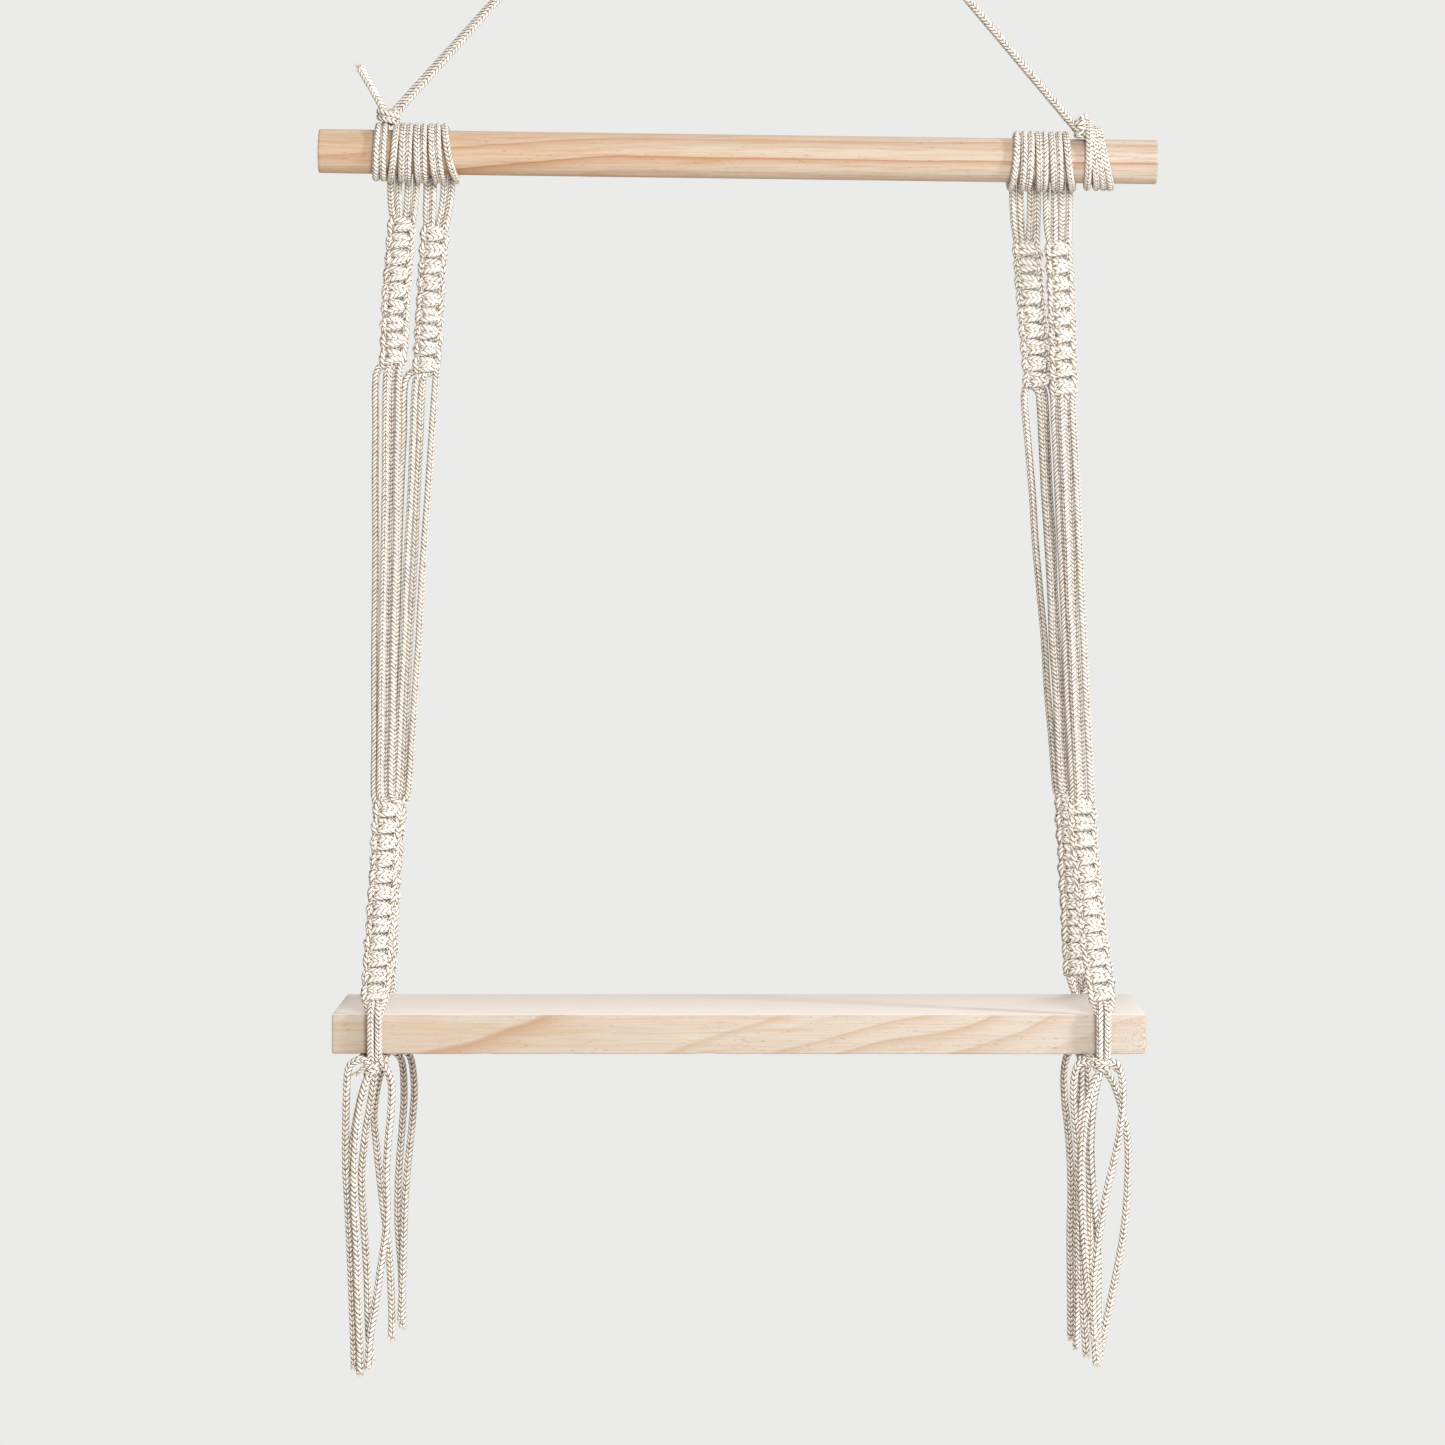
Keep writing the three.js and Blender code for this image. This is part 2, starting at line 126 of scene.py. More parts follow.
# The loose tails: how far each lies behind or in front of its knot, and (x, z) down it.
TAILS = {
    ("left", "front"): [
        (1.5, [(-184.2, -661.9), (-188.7, -662.6), (-192.1, -667), (-193, -680.1), (-193.4, -696.9),
               (-193.4, -714.9), (-192.6, -730.6), (-191.5, -753.2), (-190.4, -781.2), (-189.3, -812.7)]),
        (-2.4, [(-181.4, -668.3), (-184.2, -675.5), (-187, -689.1), (-188.9, -708.2), (-189.3, -730.6),
                (-188.1, -753.2), (-187.6, -775.6), (-186.7, -798.1), (-186.2, -815.5)]),
        (3.2, [(-179.1, -668.8), (-180.9, -681.2), (-183.6, -696.9), (-185.6, -714.9), (-185.7, -727),
               (-184.4, -747.4), (-183.1, -769.9), (-182.6, -792.5), (-181.4, -809.3)]),
        (-3, [(-176.4, -663.7), (-173, -666.7), (-170.5, -674.5), (-171, -688), (-172.4, -702.5),
              (-173.3, -719.4), (-172.8, -733), (-173.8, -748), (-176.2, -764.4), (-178.7, -781.2),
              (-181.4, -798.1), (-182.6, -812.7)]),
    ],
    ("left", "back"): [
        (1, [(-172.8, -674.8), (-171.7, -692.3), (-172.8, -709.8), (-174.6, -733.2), (-175, -756.6),
             (-173.4, -779.9), (-172.8, -797.4), (-172.6, -810.9)]),
        (-3.4, [(-169, -671.4), (-166.4, -686.5), (-167.2, -704), (-169.6, -727.2), (-171.2, -748),
                (-172.2, -780), (-173.3, -806.6)]),
        (-2, [(-181.7, -675), (-184.9, -686.5), (-186.9, -701.7), (-185.8, -717), (-183.9, -735.3),
              (-182, -752), (-179.8, -768.3), (-178.7, -785.7), (-178.1, -803.3), (-178.1, -816.2)]),
        (1.5, [(-184.7, -672.5), (-192.4, -688.5), (-197.8, -714), (-199.6, -739.4), (-198.5, -775),
               (-195.8, -818)]),
    ],
    ("right", "back"): [
        (1.4, [(167.3, -671.5), (165.5, -681.6), (166.1, -695.8), (167.9, -712.1), (169, -728.5),
               (169.3, -744.9), (168.8, -762.3), (169, -779.9), (169.2, -797.4), (169.4, -816.2)]),
        (-2.4, [(174, -675.6), (174.3, -686), (173.6, -699), (172.8, -721.5), (172.2, -745), (172, -768.3),
                (172.5, -791.6), (172, -820.8)]),
        (-1.5, [(180.1, -673.3), (189.3, -683.4), (194, -695), (196.8, -706.3), (198.3, -719),
                (198.2, -735), (196.8, -756.6), (194.1, -774), (191.2, -789.3), (188.3, -803.3),
                (184.7, -820.8)]),
        (2, [(177.1, -675.8), (178.1, -693.6), (178.6, -724.1), (179.1, -759.8), (178.1, -795.4),
             (177, -821)]),
    ],
    ("right", "front"): [
        (1.5, [(173.3, -663.6), (169.8, -662.6), (165.9, -664.4), (163.9, -670.5), (163.5, -680.1),
               (164.3, -691.3), (165.4, -702.5), (166.2, -714.9), (166.8, -730.6), (166.8, -747.4),
               (167.2, -764.4), (168.2, -781.2), (170.1, -806.5)]),
        (-2.6, [(176.6, -667.2), (173.3, -672.8), (169.8, -685.7), (168, -700.3), (167.4, -719.4),
                (168.2, -741.9), (169.4, -758.7), (171, -775.6), (173.3, -792.5), (174.9, -810.5)]),
        (3.2, [(176.2, -668.8), (173.8, -680.1), (172.5, -694.7), (172.2, -708.2), (173.3, -725.1),
               (174.9, -741.9), (175.8, -758.7), (175.9, -775.6), (176.2, -792.5), (176.9, -809.3)]),
        (-3.6, [(182.8, -662.8), (186.2, -667), (187.5, -676.7), (186.7, -691.3), (184.5, -704.8),
                (181.1, -719.4), (178.3, -732.9), (176.2, -746), (174.2, -760), (173, -777),
                (173.8, -798.1)]),
    ],
}

# The knot that binds each tassel: how far it hangs below the board, and its turns. Its two
# cut ends are (to the side, out from the board's edge, up, thickness), from its middle.
TASSEL_KNOT = {
    "drop": {"left": 6.8, "right": 5.0}, "wide": 2.8, "deep": 2.5, "pitch": 2.7, "radius": 1.5,
    "steps": 9,
}
KNOT_ENDS = (
    ((0.5, 2.6, 0.4, 0.9), (-2.6, 2.4, 1.6, 0.8), (-5.4, 1.4, -0.2, 0.7), (-7.6, 0.6, -2.2, 0.55)),
    ((1.5, 0, 2.2, 0.8), (4.6, 0.8, 3.4, 0.62)),
)

# The hanger. For each end: its knot's middle, half width and half depth, the rise of each of
# the knot's turns and their number, how far the doubled cord fans out sideways there, and the
# turns on the dowel, with x at their top and bottom and how far they stand off the dowel.
HANGER_ENDS = {
    "left": {
        "knot": (-177.6, -20, -196.6), "half": (4.6, 4.2), "rise": 2.9, "coils": 2, "fan": 0.62,
        "top": (-179.3, -182.4), "bottom": (-180.3, -184.1), "lift": (0.4, 0),
    },
    "right": {
        "knot": (172.0, -25, -204.4), "half": (1.9, 3.2), "rise": 3.0, "coils": 3, "fan": 0.12,
        "top": (176.0, 176.8, 178.6, 180.8), "bottom": (175.4, 180.2, 183.7, 187.2),
        "lift": (6.6, 3.2, 3.0, 2.6),
    },
}
HANGER_TOP = {"y": -5.1, "z": 1.8, "shoulder_x": 5, "shoulder_z": -3.6, "step": 3.6}
HANGER_LOOSE_END = [
    (-175.5, -17, -198), (-179.0, -16.5, -193.5), (-182.0, -18, -187.6, 1.1),
    (-185.2, -18.8, -181.6, 1.15), (-188.9, -19, -175.2, 1.16), (-191.2, -19, -171.2, 1.2),
    (-192.2, -19, -169.6, 1.25),
]

# The loose fibres at a cut end: how many, and each one's tube.
FRAY_COUNT = 16
FRAY_TUBE = {"radius": 0.2, "sides": 4, "steps": 1}

# Camera and photograph: X = 0 is seen at pixel column 740, and the lens is level with row 470.
PHOTO_PIXELS = 1445
CAMERA = {
    "column": 740, "row": 470, "mm_a_pixel": 0.48984, "distance": 3173, "plane_y": -131.5, "z": -373,
}
SENSOR_MM = 36


# Small helpers

def mix(a, b, t):
    return a + (b - a) * t


def bend(values, t):
    """Three evenly spaced values, read off smoothly between the first and the last."""
    start, middle, end = values
    return mix(start, end, t) + 4 * (middle - (start + end) / 2) * t * (1 - t)


def leg_y(leg, z):
    top, foot = LEGS[leg]
    return mix(top, foot, (z - LEG_TOP_Z) / (BOARD["top_z"] - LEG_TOP_Z))


def on_leg(leg, x, out, z):
    """A point in a leg's plane at height z, moved out of it to the front by out."""
    top, foot = LEGS[leg]
    drop = LEG_TOP_Z - BOARD["top_z"]
    slope = math.hypot(drop, top - foot)
    return (x, leg_y(leg, z) - out * drop / slope, z + out * (top - foot) / slope)


def axis_z(x):
    left_x, left_z = DOWEL["left"]
    right_x, right_z = DOWEL["right"]
    return mix(left_z, right_z, (x - left_x) / (right_x - left_x))


def round_dowel(x, degrees, radius):
    """A point round the dowel: 0 is behind it, 90 on top, 180 in front and 270 below."""
    angle = math.radians(degrees)
    return (x, DOWEL["axis_y"] + radius * math.cos(angle), axis_z(x) + radius * math.sin(angle))


def linear(hex_colour, alpha=1.0):
    """An sRGB hex colour as the linear colour that a shader takes."""
    channels = [int(hex_colour[i:i + 2], 16) / 255 for i in (1, 3, 5)]
    straight = [c / 12.92 if c <= 0.04045 else ((c + 0.055) / 1.055) ** 2.4 for c in channels]
    return (*straight, alpha)


def add_node(tree, kind, given=(), **settings):
    """A node with its settings. What is given goes to its inputs, in order or by name, and
    is a value, a socket or a node, which stands for its first output."""
    node = tree.nodes.new(kind)
    for name, value in settings.items():
        setattr(node, name, value)
    in_use = [socket for socket in node.inputs if socket.enabled]
    pairs = given.items() if isinstance(given, dict) else enumerate(given)
    for key, value in pairs:
        socket = in_use[key] if isinstance(key, int) else node.inputs[key]
        if isinstance(value, bpy.types.Node):
            value = next(output for output in value.outputs if output.enabled)
        if isinstance(value, bpy.types.NodeSocket):
            tree.links.new(value, socket)
        else:
            socket.default_value = value
    return node


MATH = "ShaderNodeMath"
MIX = "ShaderNodeMix"
NOISE = "ShaderNodeTexNoise"
MAP_RANGE = "ShaderNodeMapRange"


# Materials. A pattern's size is in millimetres, and 1 / (size * MM) is its scale.

def new_material(name):
    material = bpy.data.materials.new(name)
    material.use_nodes = True
    tree = material.node_tree
    return material, tree, tree.nodes["Principled BSDF"]


BRAID_COLUMNS = 4
BRAID_RELIEF = 0.9
COTTON_FIBRE = 0.35
COTTON_UNEVEN = 2.4
COTTON_PATCH = 26
LOOSE_PATCH = 1.2


def braided_cotton(name, stitch, slant, fullest):
    """Undyed cotton, plaited round a core: chevrons of plump stitches, matt, a little downy.
    The real stitches are 1.7 mm long. They are drawn longer, with dark gaps of painted shade
    between them, so that they still show where the whole shelf is in the picture. The fuller the
    stitches are, the narrower the painted shade in the gaps, and they are fullest where a knot
    presses the cord thick."""
    material, tree, shader = new_material(name)
    wind = add_node(tree, "ShaderNodeAttribute", attribute_name="wind").outputs["Vector"]
    wound = add_node(tree, "ShaderNodeSeparateXYZ", [wind]).outputs
    turn = add_node(tree, MATH, [wound["Y"], wound["X"]], operation="ARCTAN2")
    columns = add_node(tree, MATH, [turn, BRAID_COLUMNS / (2 * math.pi)], operation="MULTIPLY")
    chevron = add_node(tree, MATH, [columns, 1.0], operation="PINGPONG")
    stitches = add_node(tree, MATH, [wound["Z"], 1 / (stitch * MM)], operation="MULTIPLY")
    along = add_node(tree, MATH, [chevron, slant, stitches], operation="MULTIPLY_ADD")
    crown = add_node(tree, MATH, [along, 0.5], operation="PINGPONG")
    rib = add_node(tree, MATH, [columns, 0.5], operation="PINGPONG")
    slope = add_node(tree, MATH, [rib, 3.0], operation="MULTIPLY")
    plump = add_node(tree, MATH, [crown, slope, 0.2], operation="SMOOTH_MIN")

    place = add_node(tree, "ShaderNodeTexCoord").outputs["Object"]
    fibre = add_node(tree, NOISE, {"Vector": place, "Scale": 1 / (COTTON_FIBRE * MM), "Detail": 2.0})
    uneven = add_node(tree, NOISE, {"Vector": place, "Scale": 1 / (COTTON_UNEVEN * MM), "Detail": 2.0})
    patch = add_node(tree, NOISE, {"Vector": place, "Scale": 1 / (COTTON_PATCH * MM), "Detail": 3.0})
    fullness = add_node(tree, MAP_RANGE, [uneven, 0.35, 0.65, fullest / 2, fullest])
    flat = add_node(tree, "ShaderNodeVectorMath", [wind, (1, 1, 0)], operation="MULTIPLY")
    thick = add_node(tree, "ShaderNodeVectorMath", [flat], operation="LENGTH")
    pressed = add_node(tree, MAP_RANGE, [thick, 1.05, 1.2, 1.0, 2.0])
    closed = add_node(tree, MATH, [fullness, pressed], operation="MULTIPLY")
    lit = add_node(tree, MATH, [plump, closed], operation="MULTIPLY")
    # Painted shade: the ramp darkens from the stitch crowns down into the crevices between them.
    shade = add_node(tree, "ShaderNodeValToRGB", [lit])
    ramp = shade.color_ramp
    shaded_gap_stop, top = ramp.elements
    shaded_gap_stop.position = 0.06
    shaded_gap_stop.color = linear("#5A4C3F")
    top.position = 0.44
    top.color = linear("#FFFCF7")
    ramp.elements.new(0.23).color = linear("#D8CFC3")
    amount = add_node(tree, MATH, [patch, 0.5], operation="MULTIPLY")
    tint = add_node(
        tree, MIX, [amount, shade, linear("#F3EDE4")], data_type="RGBA", blend_type="MULTIPLY",
    )
    tree.links.new(tint.outputs[2], shader.inputs["Base Color"])

    height = add_node(tree, MATH, [fibre, 0.15, plump], operation="MULTIPLY_ADD")
    bump = add_node(
        tree, "ShaderNodeBump", {"Strength": 1.0, "Distance": BRAID_RELIEF * MM, "Height": height},
    )
    tree.links.new(bump.outputs[0], shader.inputs["Normal"])
    shader.inputs["Roughness"].default_value = 0.92
    shader.inputs["Specular IOR Level"].default_value = 0.25
    return material


def frayed_cotton():
    """The loose fibres at a cut end: the same cotton, unplaited and a little paler."""
    material, tree, shader = new_material("cotton_loose_fibre")
    place = add_node(tree, "ShaderNodeTexCoord").outputs["Object"]
    patch = add_node(tree, NOISE, {"Vector": place, "Scale": 1 / (LOOSE_PATCH * MM), "Detail": 1.0})
    tint = add_node(tree, MIX, [patch, linear("#F6EFE4"), linear("#B9A587")], data_type="RGBA")
    tree.links.new(tint.outputs[2], shader.inputs["Base Color"])
    shader.inputs["Roughness"].default_value = 0.95
    shader.inputs["Specular IOR Level"].default_value = 0.2
    return material


# The two pieces of pine. The growth rings are counted across the wood from a middle: a
# millimetre along X, Y or Z goes so far across them, and towards one end they bend away.
# Each ring is given by where it ends in its dark line, in millimetres, and how strong it is.
BOARD_PINE = {
    "name": "pine_planed_bare",
    "pale": "#C1B6A9", "warm": "#BDAB97", "band": "#B18C67", "line": "#96683F", "fleck": "#8A6A4E",
    "across": (-0.3, -0.5, 1.0), "middle": -584.0, "bent": (0, 1, 0), "wander": 26, "reach": 165,
    "streaks": 0.35,
    "rings": (
        (-120, 0.8), (-100, 0.6), (-85, 0.7), (-68, 0.5), (-50.8, 0.7), (-35.9, 0.8), (-23.6, 0.9),
        (-14.5, 0.9), (-4.3, 0.6), (2.5, 0.9), (15, 0.3), (38.6, 0.95), (60, 0.35), (78, 0.45),
    ),
    # Painted light: from x to x the wood is drawn paler, up to this colour and amount, as light from the
    # right falls on it.
    "painted_light_to_right": (-150, 190, "#C4BDB4", 0.8), "torn": (176, 196),
}
DOWEL_PINE = {
    "name": "pine_turned_bare",
    "pale": "#C6B6A1", "warm": "#BE9F80", "band": "#B17D50", "line": "#8B5A36", "fleck": "#7C593C",
    "across": (0.0135, 0.3, 1.0), "middle": -220.7, "bent": (-62, -213, 12.3), "wander": 3.2, "reach": 27,
    "streaks": 0.5,
    "rings": (
        (-14, 0.5), (-10.4, 0.7), (-4.2, 0.97), (-1, 0.3), (6.2, 0.85), (9.8, 0.5), (13, 0.5), (18, 0.5),
    ),
    # Painted light: from x to x the wood is drawn paler, up to this colour and amount, as light from the
    # right falls on it.
    "painted_light_to_right": (-150, 190, "#C8C0B5", 0.8), "torn": (204, 213),
}
RING_LINE = 0.4
FIBRE_SIZE = 0.9
STREAK_SIZE = 5.5
FLECK_SIZE = 0.65
TORN_SIZE = 0.9
DRIFT_SIZE = 48

# The top face painted paler, as painted light falling from above: its colour, how much of it
# shows, and how far below the face, in millimetres, it starts and is full.
PAINTED_LIGHT_TOP = {"colour": "#E9E4DF", "amount": 0.88, "start": 0.4, "full": 0.1}


def pine(wood, top_z=None):
    """Bare pine: growth rings, each a soft warm band that ends in a fine line, long fibres
    with small dark flecks, and a dry satin surface. It is painted paler towards its right end
    and, for a top face at top_z, on top: painted light from the right and from above."""
    material, tree, shader = new_material(wood["name"])
    place = add_node(tree, "ShaderNodeTexCoord").outputs["Object"]
    slow = add_node(tree, "ShaderNodeMapping", {"Vector": place, "Scale": (0.4, 1.0, 1.0)})
    drift = add_node(tree, NOISE, {"Vector": slow, "Scale": 1 / (DRIFT_SIZE * MM), "Detail": 2.0})
    across = add_node(tree, "ShaderNodeVectorMath", [place, wood["across"]], operation="DOT_PRODUCT")
    start = (wood["middle"] + wood["wander"] / 2) * MM
    centred = add_node(tree, MATH, [across, start], operation="SUBTRACT")
    wavy = add_node(tree, MATH, [drift, wood["wander"] * MM, centred], operation="MULTIPLY_ADD")
    where = add_node(tree, "ShaderNodeSeparateXYZ", [place]).outputs
    from_x, to_x, most = wood["bent"]
    bent = add_node(tree, MAP_RANGE, [where["X"], from_x * MM, to_x * MM, 0.0, most * MM])
    depth = add_node(tree, MATH, [wavy, bent], operation="ADD")

    reach = wood["reach"]
    share = add_node(tree, MAP_RANGE, [depth, -reach * MM, reach * MM])
    steps = add_node(tree, "ShaderNodeValToRGB", [share])
    stops = steps.color_ramp.elements
    for stop in stops:
        stop.color = (0, 0, 0, 1)
    for edge, strength in wood["rings"]:
        stops.new(0.5 + 0.5 * edge / reach).color = (strength, strength, strength, 1)
        stops.new(0.5 + 0.5 * (edge + RING_LINE) / reach).color = (0, 0, 0, 1)
    late = add_node(tree, MATH, [steps, 2.6], operation="POWER")
    edges = add_node(tree, MATH, [steps, 6.0], operation="POWER")

    long_grain = add_node(tree, "ShaderNodeMapping", {"Vector": place, "Scale": (0.03, 1.0, 1.0)})
    short_grain = add_node(tree, "ShaderNodeMapping", {"Vector": place, "Scale": (0.2, 1.0, 1.0)})
    fibre = add_node(tree, NOISE, {"Vector": long_grain, "Scale": 1 / (FIBRE_SIZE * MM), "Detail": 4.0})
    streak = add_node(tree, NOISE, {"Vector": long_grain, "Scale": 1 / (STREAK_SIZE * MM), "Detail": 3.0})
    speck = add_node(tree, NOISE, {"Vector": short_grain, "Scale": 1 / (FLECK_SIZE * MM), "Detail": 1.0})
    rough_from, rough_to = wood["torn"]
    torn = add_node(tree, NOISE, {"Vector": place, "Scale": 1 / (TORN_SIZE * MM), "Detail": 1.0})
    pitted = add_node(tree, MAP_RANGE, [torn, 0.58, 0.64, 0.0, 0.45])
    near_end = add_node(tree, MAP_RANGE, [where["X"], rough_from * MM, rough_to * MM])
    # Painted light: paler towards the right end, where light from the right falls.
    from_x, to_x, paler, most = wood["painted_light_to_right"]
    layers = (
        (add_node(tree, MAP_RANGE, [streak, 0.35, 0.65]), wood["warm"]),
        (add_node(tree, MAP_RANGE, [where["X"], from_x * MM, to_x * MM, 0.0, most]), paler),
        (add_node(tree, MATH, [late, 0.65], operation="MULTIPLY"), wood["band"]),
        (add_node(tree, MATH, [edges, 0.6], operation="MULTIPLY"), wood["line"]),
        (add_node(tree, MAP_RANGE, [fibre, 0.45, 0.7, 0.0, wood["streaks"]]), wood["band"]),
        (add_node(tree, MAP_RANGE, [speck, 0.67, 0.75, 0.0, 0.4]), wood["fleck"]),
        (add_node(tree, MATH, [pitted, near_end], operation="MULTIPLY"), wood["fleck"]),
    )
    colour = linear(wood["pale"])
    for amount, tone in layers:
        colour = add_node(tree, MIX, [amount, colour, linear(tone)], data_type="RGBA")
    # Painted light: the top face is drawn paler, as light from above falls on it.
    if top_z is not None:
        low, high = (top_z - PAINTED_LIGHT_TOP["start"]) * MM, (top_z - PAINTED_LIGHT_TOP["full"]) * MM
        amount = add_node(tree, MAP_RANGE, [where["Z"], low, high, 0.0, PAINTED_LIGHT_TOP["amount"]])
        colour = add_node(tree, MIX, [amount, colour, linear(PAINTED_LIGHT_TOP["colour"])], data_type="RGBA")
    tree.links.new(colour.outputs[2], shader.inputs["Base Color"])

    rough = add_node(tree, MAP_RANGE, [fibre, 0.3, 0.7, 0.6, 0.8])
    tree.links.new(rough.outputs[0], shader.inputs["Roughness"])
    relief = add_node(tree, MATH, [late, -0.4, fibre.outputs["Fac"]], operation="MULTIPLY_ADD")
    bump = add_node(tree, "ShaderNodeBump", {"Strength": 0.5, "Distance": 0.15 * MM, "Height": relief})
    tree.links.new(bump.outputs[0], shader.inputs["Normal"])
    shader.inputs["Specular IOR Level"].default_value = 0.3
    return material


# Cords

def braided_cord_tree():
    """Sweeps a round cord along each spline and keeps, for the braid, how far round and how
    far along the cord each point lies."""
    tree = bpy.data.node_groups.new("braided_cord", "GeometryNodeTree")
    sockets = (
        ("Path", "Geometry"), ("Radius", "Float"), ("Sides", "Int"), ("Steps a span", "Int"),
        ("Material", "Material"),
    )
    for name, kind in sockets:
        tree.interface.new_socket(name, in_out="INPUT", socket_type="NodeSocket" + kind)
    tree.interface.new_socket("Cord", in_out="OUTPUT", socket_type="NodeSocketGeometry")
    given = add_node(tree, "NodeGroupInput").outputs

    smooth = add_node(
        tree, "GeometryNodeCurveSplineType", {"Curve": given["Path"]}, spline_type="CATMULL_ROM",
    )
    fine = add_node(
        tree, "GeometryNodeSetSplineResolution", {0: smooth, "Resolution": given["Steps a span"]},
    )
    path = add_node(tree, "GeometryNodeResampleCurve", {"Curve": fine}, mode="EVALUATED")
    along = add_node(tree, "GeometryNodeCaptureAttribute", {"Geometry": path}, domain="POINT")
    along.capture_items.new("FLOAT", "Length")
    along.capture_items.new("FLOAT", "Thickness")
    length = add_node(tree, "GeometryNodeSplineParameter").outputs["Length"]
    thickness = add_node(tree, "GeometryNodeInputRadius").outputs["Radius"]
    tree.links.new(length, along.inputs["Length"])
    tree.links.new(thickness, along.inputs["Thickness"])

    ring = [given["Sides"], given["Radius"]]
    circle = add_node(tree, "GeometryNodeCurvePrimitiveCircle", ring, mode="RADIUS")
    around = add_node(tree, "GeometryNodeCaptureAttribute", {"Geometry": circle}, domain="POINT")
    around.capture_items.new("VECTOR", "Place")
    tree.links.new(add_node(tree, "GeometryNodeInputPosition").outputs[0], around.inputs["Place"])

    tube = add_node(tree, "GeometryNodeCurveToMesh", {
        "Curve": along, "Profile Curve": around, "Fill Caps": True, "Scale": thickness,
    })
    place = add_node(tree, "ShaderNodeSeparateXYZ", [around.outputs["Place"]]).outputs
    share = add_node(tree, MATH, [along.outputs["Thickness"], given["Radius"]], operation="DIVIDE")
    across = add_node(tree, MATH, [place["X"], share], operation="MULTIPLY")
    up = add_node(tree, MATH, [place["Y"], share], operation="MULTIPLY")
    wind = add_node(tree, "ShaderNodeCombineXYZ", [across, up, along.outputs["Length"]])
    kept = add_node(
        tree, "GeometryNodeStoreNamedAttribute", {"Geometry": tube, "Name": "wind", "Value": wind},
        data_type="FLOAT_VECTOR", domain="POINT",
    )
    shaded = add_node(tree, "GeometryNodeSetShadeSmooth", {"Geometry": kept})
    real = add_node(tree, "GeometryNodeRealizeInstances", {"Geometry": shaded})
    dressed = add_node(
        tree, "GeometryNodeSetMaterial", {"Geometry": real, "Material": given["Material"]},
    )
    add_node(tree, "NodeGroupOutput", {"Cord": dressed})
    return tree


def set_input(modifier, name, value):
    for item in modifier.node_group.interface.items_tree:
        if item.item_type == "SOCKET" and item.in_out == "INPUT" and item.name == name:
            modifier[item.identifier] = value
            return
    raise KeyError(name)


def path_object(name, paths):
    """A curve object with one spline for each path of (x, y, z) or (x, y, z, thickness)."""
    curve = bpy.data.curves.new(name, "CURVE")
    curve.dimensions = "3D"
    for points in paths:
        spline = curve.splines.new("POLY")
        spline.points.add(len(points) - 1)
        for point, place in zip(spline.points, points):
            point.co = (place[0] * MM, place[1] * MM, place[2] * MM, 1.0)
            point.radius = place[3] if len(place) > 3 else 1.0
    return bpy.data.objects.new(name, curve)


def swept(name, paths, tree, material, radius=CORD_RADIUS, sides=10, steps=3):
    """A plain mesh of cords along the paths."""
    source = path_object(name + "_path", paths)
    bpy.context.scene.collection.objects.link(source)
    modifier = source.modifiers.new("cord", "NODES")
    modifier.node_group = tree
    set_input(modifier, "Radius", radius * MM)
    set_input(modifier, "Sides", sides)
    set_input(modifier, "Steps a span", steps)
    set_input(modifier, "Material", material)
    bpy.context.view_layer.update()
    result = source.evaluated_get(bpy.context.evaluated_depsgraph_get())
    mesh = bpy.data.meshes.new_from_object(result)
    mesh.name = name
    bpy.data.objects.remove(source)
    return mesh


def joined(name, meshes):
    """One object from several meshes."""
    pieces = []
    for mesh in meshes:
        piece = bpy.data.objects.new(name, mesh)
        bpy.context.scene.collection.objects.link(piece)
        pieces.append(piece)
    with bpy.context.temp_override(
        active_object=pieces[0], selected_objects=pieces, selected_editable_objects=pieces,
    ):
        if len(pieces) > 1:
            bpy.ops.object.join()
    return pieces[0]


# The square knot, for a half knot whose front cord crosses from left to right. Each point is
# (across, out to the front, down, thickness), with across and out in millimetres and down in
# half knots. The soft cord spreads where it crosses in front, and the two crossings of one
# knot are pulled together, so that each whole knot shows as one bump.
FRONT_CROSSING = (
    (-4.4, -0.1, -0.26, 1.0), (-2.9, 2.6, -0.12, 1.14), (0, 3.3, 0, 1.2), (2.9, 2.6, 0.12, 1.14),
    (4.4, -0.1, 0.26, 1.0),
)
PULLED_TOGETHER = 0.1
FRONT_TURN = (5.0, -0.9, 0.5, 0.95)
BACK_CROSSING = ((0, -2.5, 0, 1.12), (-3.4, -1.8, -0.12, 1.08), (-4.6, 0.6, -0.36, 1.0))
SIDE_BAR = ((-5.4, 2.2, -0.02, 1.0), (-5.85, 2.3, 0.46, 1.08), (-5.4, 1.8, 0.94, 1.0))
BAR_TUCK = ((-5.3, -0.3, 1.22, 0.95), (-3.2, -2.2, 1.08, 1.05))
BACK_ENTRY = ((5.2, 1.7, 0.1, 1), (4.9, -0.6, 0.5, 1), (3.0, -2.2, 0.52, 1))
FILLER_OFFSET = 1.7


